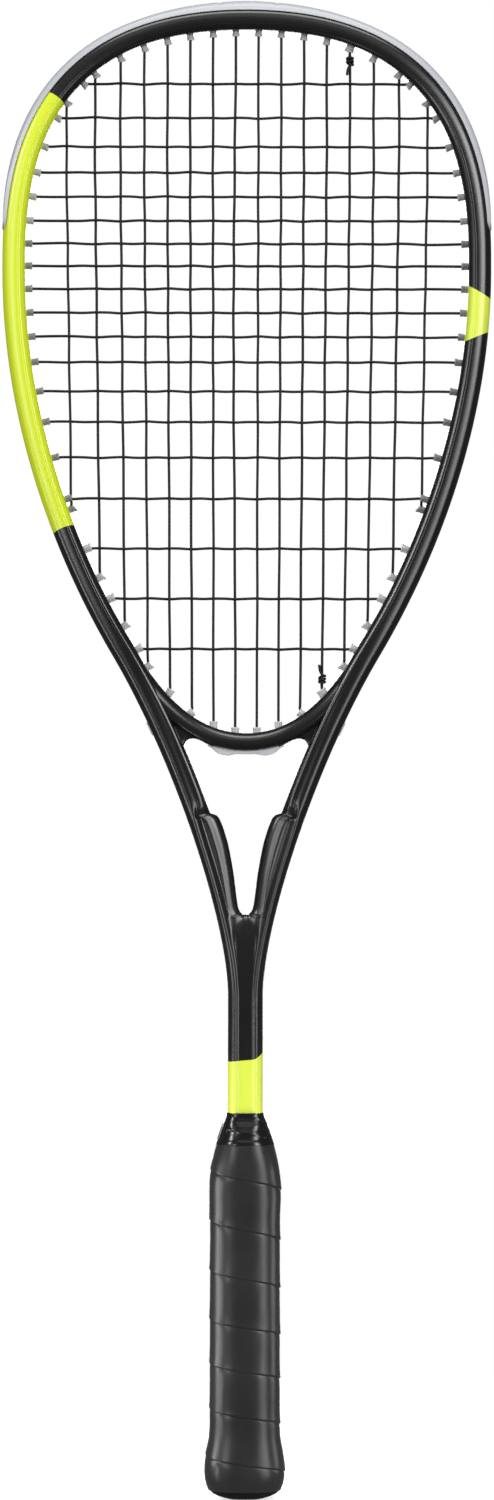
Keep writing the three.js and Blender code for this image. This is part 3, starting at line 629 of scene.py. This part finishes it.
def string_route():
    first, last = top_holes[TOP_TIE], bottom_holes[BOTTOM_TIE]
    route = knot(TOP_TIE, first, -1)[::-1] + through(first, True, TIE_SHIFT)
    route += groove_run(first, top_holes[MAINS], 0, TAIL_LEVEL)
    for i in range(MAINS, 1, -1):
        route += main_run(i)
        holes = bottom_holes if i % 2 == 0 else top_holes
        if i in (8, 10):
            route += bridge_run(holes[i], holes[i - 1])
        else:
            route += groove_run(holes[i], holes[i - 1], -LANE)
    route += main_run(1) + groove_run(top_holes[1], cross_holes[-1][0], LANE)
    for j in range(1, len(CROSS_HEIGHTS) + 1):
        holes = cross_holes[1 if j % 2 else -1] + [last]
        route += cross_run(j) + groove_run(holes[j - 1], holes[j], LANE)
    return route + through(last, False, TIE_SHIFT) + knot(BOTTOM_TIE, last, 1)


def rounded(points, step=2.2):
    """A centripetal spline through the points, with about the given distance between its own."""
    p = np.array(points, float)
    keep = [0]
    for i in range(1, len(p)):
        if np.linalg.norm(p[i] - p[keep[-1]]) > 0.35:
            keep.append(i)
    p = p[keep]
    e = np.vstack([2 * p[0] - p[1], p, 2 * p[-1] - p[-2]])
    out = []
    for i in range(len(p) - 1):
        a, b, c, d = e[i:i + 4]
        t = [0.0]
        for u, v in ((a, b), (b, c), (c, d)):
            t.append(t[-1] + max(np.linalg.norm(v - u), 1e-6) ** 0.5)
        steps = int(min(12, max(2, math.ceil(np.linalg.norm(c - b) / step))))
        for k in range(steps):
            at_t = t[1] + (t[2] - t[1]) * k / steps
            row = e[i:i + 4]
            for span in (1, 2):
                row = [part_way((at_t - t[m]) / (t[m + span] - t[m]), row[m], row[m + 1])
                       for m in range(4 - span)]
            out.append(part_way(k / steps, *row))
    out.append(p[-1])
    return np.array(out)


def tube(skin, path, radius, sides=10):
    """A round tube along a path, closed at both ends."""
    run = np.gradient(path, axis=0)
    run /= np.linalg.norm(run, axis=1)[:, None]
    up = np.cross(run[0], (0.3, 0.5, 0.8))
    turn = (np.arange(sides) / sides * 2 * math.pi)[:, None]
    rings = []
    for p, along in zip(path, run):
        up = up - along * (up @ along)
        up /= np.linalg.norm(up)
        rings.append(p + radius * (np.cos(turn) * up + np.sin(turn) * np.cross(along, up)))
    skin.closed([part_way(0.02, path[0], rings[0]), *rings, part_way(0.02, path[-1], rings[-1])])


def string_bed():
    skin = Skin()
    tube(skin, rounded(string_route()), STRING_RADIUS)
    return skin.build("string_bed", sharp=60, merge=0.0005)


# ---------- guard, strips and barrels ----------


def barrel(skin, hole, radius, flare, back=0.75):
    """A hollow barrel round a hole's axis, open towards the strings; its root stays back from the mouth."""
    tip, mouth = hole["tip"], hole["mouth"]
    length = np.linalg.norm(mouth - tip)
    axis = (mouth - tip) / length
    length -= back
    scale = 1.22 if "tie" in hole else 1.0
    radius, flare, bore = radius * scale, flare * scale, 0.78 * scale
    profile = [(bore, length), (radius, length), (radius, 1.6), (radius * 1.02, 1.05), (flare, 0.49),
               (flare, 0.3), (flare - 0.25, 0.0), (bore + 0.25, 0.0), (bore, 0.3), (bore, length)]
    turn = np.arange(20) / 20 * 2 * math.pi
    side = np.array([-axis[1], axis[0]])
    lean = float(np.dot(hole["lean"], side)) if "lean" in hole else 0.0
    shortened = CUT * abs(lean) * (0.5 + 0.5 * math.copysign(1, lean) * np.cos(turn))
    rows = []
    for r, h in profile:
        height = h + shortened * (h < BARREL_TIP)
        x, z = (tip + np.outer(height, axis) + np.outer(r * np.cos(turn), side)).T
        rows.append(np.column_stack([x, r * np.sin(turn), z]))
    skin.lattice(rows, wrap_v=True)


def sweep_groove(skin, sections, s_values, sides):
    """A closed section of (n, d) points carried along the hairpin; each station has its own."""
    rows = []
    for s, side, outline in zip(s_values, sides, sections):
        n, d = np.array(outline).T
        x, z = off(s, n, side)
        rows.append(np.column_stack([x, d, z]))
    skin.closed(rows)


def both(half):
    """The half outline and its mirror image, as one closed outline."""
    return list(half) + [(n, -d) for n, d in reversed(half) if abs(d) > 1e-9]


def in_range(low, high, side=None):
    return [h for h in all_holes if h["s"] is not None and low < h["s"] <= high and side in (None, h["side"])]


def strip(name, side, low_z, high_z, radius, flare, tab=0.0):
    skin = Skin()
    low, high = s_at(low_z) + 0.3, s_at(high_z) - 0.3
    s_values = np.linspace(low, high, int((high - low) / 1.5))
    sections = []
    for s in s_values:
        top = STRIP_TOP + tab * float(ramp(s, s_at(349), s_at(352)) * ramp(s, s_at(360), s_at(357)))
        half = [(STRIP_FLOOR, 0), (STRIP_FLOOR, 2.9), (top - 0.15, 2.95), (top, 2.8), (top, 0)]
        sections.append(both(half))
    sweep_groove(skin, sections, s_values, [side] * len(s_values))
    for hole in in_range(low, high, side):
        barrel(skin, hole, radius, flare)
    return skin.build(name, sharp=40)


GUARD_NOTCHES = (-12.0, 13.0)
GUARD_SEAT = 5.75  # where the guard's raised face starts, outside the centre line


def guard_reach(s, x):
    """Distance from the centre line to the guard's outer face, which has two notches near the apex."""
    run = s - s_at(GUARD_END_Z)
    notches = sum(math.exp(-((x - notch) / 0.8) ** 2) for notch in GUARD_NOTCHES)
    return (TUBE_HALF + 0.2 + 1.95 * (1 - math.exp(-run / 24)) + 1.05 * float(ramp(run, 105, 170))
            - 0.45 * notches)


def head_guard():
    skin = Skin()
    low = s_at(GUARD_END_Z)
    right = np.concatenate([low + np.array([0, 0.3, 0.8, 1.6, 3]), np.linspace(low + 5, S_APEX - 20, 50),
                            np.linspace(S_APEX - 19.5, S_APEX, 50)])
    s_values = np.concatenate([right, right[::-1][1:]])
    sides = [1] * len(right) + [-1] * (len(right) - 1)
    sections = []
    for s, side in zip(s_values, sides):
        top = guard_reach(s, side * float(centre(s)[0]))
        h = max(top - GUARD_SEAT, 0.02)
        end = part_way(smooth(min((s - low) / 3, 1.0)), 0.25, 1.0)
        lip = part_way(end, 5.25, 4.15)
        sections.append(both([
            (STRIP_TOP, 0), (STRIP_TOP, 1.7), (GUARD_SEAT + 0.8 * h, 2.1), (GUARD_SEAT + 0.93 * h, 2.35),
            (top, 3.0), (GUARD_SEAT + 0.97 * h, 4.2), (GUARD_SEAT + 0.8 * h, 5.4),
            (GUARD_SEAT + 0.5 * h, 6.4), (GUARD_SEAT + 0.2 * h, part_way(end, 1.5, 7.05)),
            (5.3, part_way(end, 5.4, 7.4)),
            (lip + 0.25, part_way(end, 5.9, 7.85)), (lip, part_way(end, 5.9, 7.8)),
            (lip - 0.1, part_way(end, 5.8, 7.45)), (part_way(end, 5.15, 4.85), part_way(end, 5.6, 6.5)),
            (5.55, 5.0), (5.55, 3.2), (5.3, 2.9), (STRIP_FLOOR, 2.9), (STRIP_FLOOR, 0),
        ]))
    sweep_groove(skin, sections, s_values, sides)
    for hole in in_range(low, S_APEX + 1):
        barrel(skin, hole, 1.5, 1.68)
    return skin.build("head_guard", sharp=34)


def bridge_strip():
    """The clear channel under the bar with its two pads and four barrels."""
    skin = Skin()
    rows = {1: [], -1: []}
    for x in np.linspace(0, 14.3, 40):
        z = bridge_z(x)
        slope = (bridge_z(x + 0.5) - z) / 0.5
        down = np.array([slope, -1.0]) / math.hypot(slope, 1)
        pad = 1.3 * float(ramp(x, 2.8, 7.4) * (1 - ramp(x, 9.0, 13.4)))
        thick = 1.8 + pad - 0.6 * float(ramp(x, 10.5, 14.0))
        top, low = BAR_HEIGHT, BAR_HEIGHT + thick
        outline = both([(top, 0), (top, 3.9), (top + 0.3, 4.5), (top + thick * 0.6, 4.5), (low - 0.25, 4.15),
                        (low, 3.7), (low, 1.9), (low - 0.2, 1.4), (top + 0.3, 1.3), (top + 0.3, 0)])
        for side in (1, -1):
            rows[side].append([[side * (x + down[0] * n), d, z + down[1] * n] for n, d in outline])
    skin.closed(rows[-1][::-1] + rows[1][1:])
    for i in (7, 8, 9, 10):
        barrel(skin, bottom_holes[i], 1.7, 1.95, back=0.2)
    return skin.build("bridge_strip", sharp=40)


# ---------- handle ----------


def handle_section(w, z, turn):
    """A point of the handle's outer surface: turn runs from the left over the front to the right and back."""
    neck = ramp(z, 140, 168)
    power = 0.76 + 0.06 * ramp(z, 150, 164) - 0.24 * ramp(z, 168, 174)
    ratio = 0.86 + 0.28 * neck
    c, s = -np.cos(turn), -np.sin(turn)
    x = np.sign(c) * abs(c) ** power * w
    y = np.sign(s) * abs(s) ** power * w * ratio
    return x, y


SEAMS_LEFT = (198, 174.5, 151, 128.2, 105.3, 82.5, 62.5, 41.7, 20.5, -1)
SEAMS_RIGHT = (188, 164, 141.5, 118.4, 96.6, 75.2, 55.0, 34.3, 12.5, -10)


def seam_height(turns):
    """Height of the wrap's edge after this many turns from the top."""
    knots = np.arange(len(SEAMS_LEFT) * 2) / 2
    heights = np.array([v for pair in zip(SEAMS_LEFT, SEAMS_RIGHT) for v in pair], float)
    return np.interp(turns, knots, heights)


def arc_share(columns):
    """Section angles whose spacing along the surface is even."""
    turn = np.linspace(0, 2 * math.pi, 4001)
    x, y = handle_section(16.4, 100.0, turn)
    length = np.concatenate([[0], np.cumsum(np.hypot(np.diff(x), np.diff(y)))])
    return np.interp(np.arange(columns) / columns, length / length[-1], turn)


def wrap_width(z):
    w, h = zip(*WRAP_PROFILE)
    return eased(z, h, w, 1.2)


def wrinkle(x, y, z, size):
    return noise.noise(Vector((x / size, y / size, z / size)))


def wound_wrap():
    columns = 176
    turn = arc_share(columns)
    share = np.arange(columns) / columns
    from_edge = np.array([0, 0.18, 0.4, 0.8, 1.5, 3.0, 5.5, 8.5, 11.5, 14.5, 17.0])
    to_edge = np.array([3.2, 2.2, 1.5, 0.95, 0.55, 0.28, 0.1])
    per = len(from_edge) + len(to_edge)
    strips = len(SEAMS_LEFT) - 1
    points = np.zeros((columns, strips * per, 3))
    for c in range(columns):
        for k in range(strips):
            upper, lower = seam_height(k + share[c]), seam_height(k + 1 + share[c])
            pitch = upper - lower
            gaps = np.concatenate([from_edge * (pitch - 4.2) / 17.8, pitch - to_edge])
            for r, gap in enumerate(gaps):
                z = min(max(float(upper - gap), WRAP_FOOT), WRAP_TOP)
                left = pitch - gap
                lift = 0.34 * math.exp(-max(left - 0.5, 0) / 2.6) * float(ramp(left, 0.0, 0.5))
                sink = 0.34 * math.exp(-gap / 0.9) + 0.30 * float(1 - ramp(left, 0.0, 0.35))
                x, y = handle_section(16.0, z, turn[c])
                bump = 0.10 * wrinkle(x, y, z, 9.0) + 0.05 * wrinkle(x, y, z + 40, 3.0)
                fade = float(ramp(z, WRAP_FOOT, WRAP_FOOT + 2) * ramp(z, WRAP_TOP, WRAP_TOP - 1.5))
                w = float(wrap_width(z)) + (lift - sink + bump) * fade
                points[c, k * per + r] = (*handle_section(w, z, turn[c]), z)
    skin = Skin()
    skin.lattice(points)
    # the last column meets the first one a whole strip lower
    rows = strips * per
    last = (columns - 1) * rows
    for r in range(rows - per - 1):
        skin.face((last + r, last + r + 1, r + per + 1, r + per))
    return skin.build("wound_wrap", sharp=70, merge=0.004)


def thickened(piece, thickness):
    """The surface given a real thickness inwards, applied to the mesh."""
    modifier = piece.modifiers.new("thickness", "SOLIDIFY")
    modifier.thickness = thickness * MM
    modifier.offset = -1
    graph = bpy.context.evaluated_depsgraph_get()
    mesh = bpy.data.meshes.new_from_object(piece.evaluated_get(graph))
    piece.modifiers.clear()
    piece.data = mesh
    return piece


def lathe(name, profile, sharp, relief=None):
    """A closed handle-section body; profile is (half width, z) from one pole or rim to the other."""
    columns = 128
    turn = arc_share(columns)
    rows = []
    for w, z in profile:
        width = w + np.array([relief(t, w, z) if relief else 0.0 for t in turn])
        x, y = handle_section(np.maximum(width, 0.001), z, turn)
        rows.append(np.stack([x, y, np.full(columns, float(z))], -1))
    skin = Skin()
    skin.lattice(rows, wrap_v=True)
    return skin.build(name, sharp=sharp)


def collar_relief(turn, w, z):
    """Stretched rubber: two turns with slanting edges, shallow folds, and a dip in the upper rim."""
    if w < 3:
        return 0.0
    edge = 171.4 - 7.6 * turn / math.pi
    step = 0.17 * float(ramp(z, edge - 0.25, edge + 0.1) + ramp(z, edge + 7.4, edge + 7.7)) - 0.17
    fold = 0.08 * noise.noise(Vector((math.cos(turn) * 1.6, math.sin(turn) * 1.6, z * 0.42)))
    fine = 0.03 * noise.noise(Vector((math.cos(turn) * 3.5, math.sin(turn) * 3.5, z * 1.1)))
    return (step + fold + fine) * float(ramp(z, 163.6, 164.8) * ramp(z, 176.4, 174.8))


def collar_sleeve():
    knots = ((13.5, 162.4), (13.0, 163.7), (12.5, 165), (11.5, 168), (10.35, 171.0), (9.7, 172.4),
             (9.2, 173.5), (8.8, 174.6), (8.55, 175.6), (8.5, 176.6))
    w, h = zip(*knots)
    z_values = np.concatenate([np.linspace(162.5, 172.0, 38), np.linspace(172.2, 176.6, 18)])
    outer = zip(eased(z_values, h, w, 0.5), z_values)
    profile = [(13.2, 162.4), *outer, (8.3, 176.8), (8.12, 176.7), (8.12, 172.5), (9.3, 168.0),
               (10.6, 163.8), (12.9, 163.6), (13.2, 162.4)]
    return lathe("collar_sleeve", profile, 50, collar_relief)


def cap_shell():
    profile = [(0.01, 0.5), (4.4, 0.5), (4.9, 0.0), (7.4, 0.0), (9.6, 0.55), (12.4, 1.5), (14.8, 2.8),
               (16.2, 4.1), (16.1, 4.6), (15.9, 5.2), (15.9, 24), (14.8, 24), (14.8, 2.7), (0.01, 2.7)]
    return lathe("cap_shell", profile, 40)


# ---------- materials ----------


class Nodes:
    """A short way to write a procedural material."""

    def __init__(self, name):
        self.material = bpy.data.materials.new(name)
        self.material.use_nodes = True
        self.tree = self.material.node_tree
        self.shader = self.tree.nodes["Principled BSDF"]

    def set(self, **values):
        for key, value in values.items():
            socket = self.shader.inputs[key.replace("_", " ")]
            if isinstance(value, bpy.types.NodeSocket):
                self.tree.links.new(value, socket)
            else:
                socket.default_value = value
        return self

    def node(self, kind, inputs=(), **settings):
        node = self.tree.nodes.new(kind)
        for key, value in settings.items():
            setattr(node, key, value)
        for index, value in dict(inputs).items():
            socket = node.inputs[index]
            if isinstance(value, bpy.types.NodeSocket):
                self.tree.links.new(value, socket)
            else:
                socket.default_value = value
        return node

    def math(self, operation, *values):
        return self.node("ShaderNodeMath", dict(enumerate(values)), operation=operation).outputs[0]

    def plus(self, a, b):
        return self.math("ADD", a, b)

    def minus(self, a, b):
        return self.math("SUBTRACT", a, b)

    def times(self, a, b):
        return self.math("MULTIPLY", a, b)

    def clamp(self, value, low, high):
        return self.math("MINIMUM", self.math("MAXIMUM", value, low), high)

    def varied(self, value, low, spread):
        """low where the value is 0, and low + spread where it is 1."""
        return self.plus(low, self.times(value, spread))

    def step(self, value, low, high):
        """A soft step from 0 at low to 1 at high, which may be the smaller of the two."""
        inputs = {"Value": value, "From Min": low, "From Max": high}
        return self.node("ShaderNodeMapRange", inputs, interpolation_type="SMOOTHSTEP").outputs["Result"]

    def mark(self, name):
        return self.node("ShaderNodeAttribute", attribute_name=name).outputs["Fac"]

    def place(self):
        if not hasattr(self, "_place"):
            self._place = self.node("ShaderNodeTexCoord").outputs["Object"]
        return self._place

    def axis(self, name):
        parts = self.node("ShaderNodeSeparateXYZ", {0: self.place()})
        return self.times(parts.outputs[name], 1 / MM)

    def stretched(self, x, y, z):
        return self.node("ShaderNodeMapping", {"Vector": self.place(), "Scale": (x, y, z)}).outputs[0]

    def noise(self, scale, detail=3.0, roughness=0.5, vector=None):
        inputs = {"Vector": vector or self.place(), "Scale": scale, "Detail": detail, "Roughness": roughness}
        return self.node("ShaderNodeTexNoise", inputs).outputs["Fac"]

    def cells(self, scale, output="Distance", **inputs):
        inputs = {"Vector": self.place(), "Scale": scale, **inputs}
        return self.node("ShaderNodeTexVoronoi", inputs).outputs[output]

    def mix(self, factor, a, b):
        a, b = (v if isinstance(v, bpy.types.NodeSocket) else (*v, 1) for v in (a, b))
        return self.node("ShaderNodeMix", {0: factor, 6: a, 7: b}, data_type="RGBA").outputs[2]

    def bump(self, height, strength, distance):
        inputs = {"Height": height, "Strength": strength, "Distance": distance}
        return self.node("ShaderNodeBump", inputs).outputs["Normal"]


def lacquer():
    """Black lacquer with yellow-green bands, placed along the tube by the run and out attributes."""
    m = Nodes("frame_lacquer")
    run, out = m.mark("run"), m.mark("out")
    x, z = m.axis("X"), m.axis("Z")
    share = m.math("DIVIDE", out, TUBE_HALF)
    bow = m.times(m.times(share, share), 0.8)

    def between(value, low, high, soft=0.12):
        return m.times(m.step(value, low, low + soft), m.step(value, high, high - soft))

    # the long band on the left side of the head
    on_right = m.step(x, -0.5, 0.5)
    on_left = m.step(x, 0.5, -0.5)
    left_band = m.times(between(m.plus(run, bow), s_at(443) + 1.0, s_at(641.5) - 0.9), on_left)
    # the short band on the right, longer on the inside of the tube
    middle = m.math("ABSOLUTE", m.minus(run, s_at(541.6)))
    reach = m.minus(10.4, m.times(share, 2.9))
    right_band = m.times(m.step(m.minus(middle, reach), 0.0, -0.12), on_right)
    # the ring on the shaft, with its upper edge curling up to the right
    curl = m.clamp(m.math("DIVIDE", m.minus(x, 3.0), 5.0), 0.0, 1.1)
    tilt = m.times(m.clamp(x, -9.0, 9.0), 0.09)
    upper = m.plus(200.9, m.plus(tilt, m.times(m.times(curl, curl), 2.9)))
    side = m.math("DIVIDE", m.minus(x, 1.0), SHAFT_X + TUBE_HALF)
    lower = m.plus(175.0, m.times(m.times(side, side), 1.5))
    ring = m.times(m.step(m.minus(upper, z), 0.0, 0.12), m.step(m.minus(z, lower), -0.1, 0.1))
    # a short stripe on the outer side of the right leg
    stripe = m.times(between(z, 229.0, 239.5, 0.2), m.times(m.step(out, 5.25, 5.4), on_right))
    short = m.math("MAXIMUM", m.math("MAXIMUM", right_band, ring), stripe)
    paint = m.math("MAXIMUM", left_band, short)

    cloud = m.noise(14.0, 3.0)
    streak = m.noise(9.0, 2.0, vector=m.stretched(1.0, 1.0, 0.25))
    deep = m.mix(streak, (0.50, 0.60, 0.004), (0.62, 0.74, 0.022))
    bright = m.mix(cloud, (0.60, 0.72, 0.055), (0.68, 0.79, 0.085))
    lime = m.mix(short, deep, bright)
    spark = m.node("ShaderNodeSeparateColor", {0: m.cells(5200.0, "Color")}).outputs[0]
    black = m.mix(m.step(spark, 0.90, 1.0), (0.0040, 0.0040, 0.0043), (0.011, 0.011, 0.012))
    black = m.mix(m.step(cloud, 0.35, 0.75), black, (0.0060, 0.0060, 0.0061))
    rough = m.varied(m.noise(60.0, 4.0), m.varied(paint, 0.23, 0.04), 0.10)
    normal = m.bump(m.noise(300.0, 2.0, 0.4), 0.05, 0.0001)
    m.set(Base_Color=m.mix(paint, black, lime), Roughness=rough, Normal=normal)
    m.set(Coat_Weight=0.3, Coat_Roughness=0.24)
    return m.material


def nylon(name, low, high, roughness, alpha=1.0):
    """Moulded nylon, satin, a little cloudy; alpha below 1 for the clear strips."""
    m = Nodes(name)
    cloud = m.noise(24.0, 2.0)
    scuff = m.noise(140.0, 2.0)
    rough = m.varied(scuff, roughness - 0.05, 0.1)
    m.set(Base_Color=m.mix(cloud, low, high), Roughness=rough, Normal=m.bump(scuff, 0.04, 0.0001))
    if alpha < 1:
        m.set(Alpha=m.varied(cloud, alpha - 0.06, 0.12))
    return m.material


def string_coat():
    """Black coating over a twisted core: fine slanting ridges show through it."""
    m = Nodes("string_coat")
    inputs = {"Vector": m.place(), "Scale": 900.0, "Distortion": 2.0, "Detail": 1.0}
    wave = m.node("ShaderNodeTexWave", inputs, bands_direction="DIAGONAL").outputs["Fac"]
    cloud = m.noise(160.0, 2.0)
    color = m.mix(cloud, (0.0025, 0.0025, 0.003), (0.006, 0.006, 0.007))
    m.set(Base_Color=color, Roughness=m.varied(cloud, 0.42, 0.14), Normal=m.bump(wave, 0.12, 0.00005))
    m.set(Specular_IOR_Level=0.3)
    return m.material


def grip_film():
    """Dark grey polyurethane: a fine pebble with pores, in slightly uneven greys, and painted shade that
    darkens the pores.
    """
    m = Nodes("grip_film")
    pores = m.cells(420.0, Randomness=0.55)
    pits = m.step(pores, 0.17, 0.06)
    cloud = m.noise(32.0, 4.0)
    color = m.mix(m.step(cloud, 0.3, 0.7), (0.0100, 0.0100, 0.0098), (0.0155, 0.0150, 0.0145))
    # painted shade: the pits of the pores are painted darker, as if shade fell into them
    color = m.mix(m.times(pits, 0.6), color, (0.008, 0.008, 0.008))
    height = m.minus(m.times(m.cells(1150.0), 0.6), pits)
    rough = m.varied(m.noise(70.0, 3.0), 0.27, 0.14)
    m.set(Base_Color=color, Roughness=rough, Normal=m.bump(height, 0.10, 0.0001))
    m.set(Sheen_Weight=0.05, Sheen_Roughness=0.5)
    return m.material


def glossy_black(name, roughness, low=(0.007, 0.007, 0.0075), high=(0.014, 0.014, 0.015), specular=0.5):
    m = Nodes(name)
    fine = m.noise(300.0, 3.0)
    rough = m.varied(fine, roughness - 0.05, 0.12)
    m.set(Base_Color=m.mix(m.noise(60.0, 3.0), low, high), Roughness=rough, Normal=m.bump(fine, 0.15, 0.0002))
    m.set(Specular_IOR_Level=specular)
    return m.material


def foam():
    m = Nodes("pallet_foam")
    cloud = m.noise(45.0, 3.0)
    color = m.mix(cloud, (0.42, 0.33, 0.18), (0.52, 0.43, 0.27))
    m.set(Base_Color=color, Roughness=m.varied(cloud, 0.8, 0.15), Normal=m.bump(m.cells(1400.0), 0.5, 0.0004))
    return m.material


def steel():
    m = Nodes("staple_steel")
    drawn = m.noise(900.0, 2.0, vector=m.stretched(1.0, 1.0, 6.0))
    color = m.mix(drawn, (0.50, 0.50, 0.51), (0.66, 0.66, 0.67))
    m.set(Base_Color=color, Roughness=m.varied(drawn, 0.2, 0.2), Normal=m.bump(drawn, 0.1, 0.0001))
    m.set(Metallic=1.0)
    return m.material


# ---------- assembly ----------

LACQUER = lacquer()
GREY = nylon("guard_nylon", (0.36, 0.375, 0.40), (0.45, 0.46, 0.48), 0.36)
CLEAR = nylon("clear_nylon", (0.56, 0.585, 0.62), (0.68, 0.70, 0.73), 0.26, alpha=0.72)
SMOKE = nylon("smoke_nylon", (0.19, 0.195, 0.20), (0.27, 0.275, 0.28), 0.32, alpha=0.9)

finished(frame_shell(), LACQUER, "frame_lacquer", "racket_frame")
finished(bridge_bar(), LACQUER, "frame_lacquer", "throat_bridge")
finished(string_bed(), string_coat(), "string_nylon", "string")
finished(head_guard(), GREY, "guard_nylon", "bumper_guard")
for side, name, radius, flare in ((-1, "left", 1.5, 1.68), (1, "right", 1.55, 1.75)):
    made = strip(f"side_strip_{name}", side, STRIP_JOINT_Z, GUARD_END_Z, radius, flare)
    finished(made, SMOKE, "guard_nylon", f"side_grommet_strip_{name}")
for side, name in ((-1, "left"), (1, "right")):
    made = strip(f"lower_strip_{name}", side, STRIP_END_Z, STRIP_JOINT_Z, 1.75, 2.0, tab=2.8)
    finished(made, CLEAR, "clear_nylon", f"lower_grommet_strip_{name}")
finished(bridge_strip(), CLEAR, "clear_nylon", "bridge_grommet_strip")

wrap = finished(thickened(wound_wrap(), 1.0), grip_film(), "grip_polyurethane", "grip_wrap")
RUBBER = glossy_black("collar_rubber", 0.2, (0.004, 0.004, 0.0045), (0.009, 0.009, 0.0095))
finished(collar_sleeve(), RUBBER, "collar_rubber", "grip_collar")
PLASTIC = glossy_black("cap_plastic", 0.45, (0.003, 0.003, 0.003), (0.006, 0.006, 0.006), specular=0.36)
finished(cap_shell(), PLASTIC, "cap_plastic", "butt_cap")

FOAM, STEEL, TAPE = foam(), steel(), glossy_black("tape_film", 0.3)
for name, node in nodes.items():
    if node.hide_render:
        continue
    node.data.materials.clear()
    node.data.materials.append(STEEL if "staple" in name else TAPE if "tape" in name else FOAM)

# ---------- stage, light and camera ----------


def stage_floor():
    """A round pale floor that fades into the white background."""
    turn = np.arange(96) / 96 * 2 * math.pi
    skin = Skin()
    skin.lattice([np.stack([r * np.cos(turn), r * np.sin(turn), 0 * turn - 0.2], -1)
                  for r in (20, 80, 200, 350, 600)], wrap_v=True)
    skin.face(range(len(turn)))
    floor = skin.build("floor", sharp=40)
    floor.visible_glossy = False  # the butt's gloss stays free of the floor's glare
    m = Nodes("pale_floor")
    m.set(Roughness=0.9, Base_Color=m.mix(m.noise(3.0), (0.80, 0.80, 0.80), (0.83, 0.83, 0.83)))
    m.set(Specular_IOR_Level=0.0, Emission_Color=(1, 1, 1, 1), Emission_Strength=0.66)
    far = m.node("ShaderNodeVectorMath", {0: m.place()}, operation="LENGTH").outputs["Value"]
    m.set(Alpha=m.step(far, 0.55, 0.06))
    floor.data.materials.append(m.material)
    floor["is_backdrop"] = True


LAMPS = (  # name, place, height of the point that it faces, size, and power in watts
    ("key_right", (1.15, -1.40, 0.45), 0.36, (0.65, 1.7), 16),
    ("head_right", (1.12, -1.37, 0.88), 0.6, (0.55, 0.6), 5),
    ("key_left", (-1.6, -0.85, -0.2), 0.1, (0.35, 0.6), 5.5),
    ("head_left", (-0.95, -1.50, 0.56), 0.45, (0.32, 0.92), 6.3),
    ("overhead", (0.0, -0.35, 1.75), 0.6, (1.2, 0.5), 12),
    ("front_high", (0.0, -1.25, 1.75), 0.6, (1.2, 0.35), 1.3),
    ("behind", (0.0, 1.9, 0.45), 0.4, (0.8, 1.3), 16),
    ("collar_left", (-1.08, -0.63, 1.0), 0.17, (0.24, 0.38), 6.0),
    ("collar_right", (0.75, -0.95, 1.05), 0.17, (0.45, 0.4), 2.6),
    ("grip_left", (-0.2, -0.04, 0.09), 0.09, (0.07, 0.14), 0.24),
    ("grip_right", (0.2, -0.01, 0.09), 0.09, (0.07, 0.14), 0.10),
)


def area(name, place, aim_z, size, power):
    light = bpy.data.lights.new(name, "AREA")
    light.shape = "RECTANGLE"
    light.size, light.size_y = size
    light.energy = power
    lamp = bpy.data.objects.new(name, light)
    lamp.location = place
    lamp.rotation_euler = (Vector((0, 0, aim_z)) - Vector(place)).to_track_quat("-Z", "Y").to_euler()
    lamp.visible_camera = False
    bpy.context.scene.collection.objects.link(lamp)


def studio():
    world = bpy.data.worlds.new("studio")
    bpy.context.scene.world = world
    world.use_nodes = True
    tree = world.node_tree
    background = tree.nodes["Background"]
    seen = tree.nodes.new("ShaderNodeLightPath")
    strength = tree.nodes.new("ShaderNodeMapRange")
    strength.inputs["To Min"].default_value = 0.09
    strength.inputs["To Max"].default_value = 1.0
    tree.links.new(seen.outputs["Is Camera Ray"], strength.inputs["Value"])
    tree.links.new(strength.outputs[0], background.inputs["Strength"])
    background.inputs["Color"].default_value = (1, 1, 1, 1)
    for lamp in LAMPS:
        area(*lamp)
    bpy.context.scene.view_settings.view_transform = "Standard"


RACKET_LENGTH = 685
PHOTO_SCALE = 0.4579  # millimetres a pixel, from the racket's length
IMAGE_SIZE = (494, 1500)
LENS = 135
SENSOR = 36
ROLL = -0.0019  # the racket stands a little off the picture's upright


def camera():
    data = bpy.data.cameras.new("camera")
    data.lens = LENS
    data.sensor_width = SENSOR
    tall = IMAGE_SIZE[1] * PHOTO_SCALE * MM
    distance = tall * LENS / SENSOR
    made = bpy.data.objects.new("camera", data)
    made.location = (0.0005, -distance, RACKET_LENGTH / 2 * MM)
    made.rotation_euler = (math.pi / 2, ROLL, 0)
    data.clip_start, data.clip_end = 0.05, 200
    bpy.context.scene.collection.objects.link(made)
    bpy.context.scene.camera = made


stage_floor()
studio()
camera()

low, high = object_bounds()
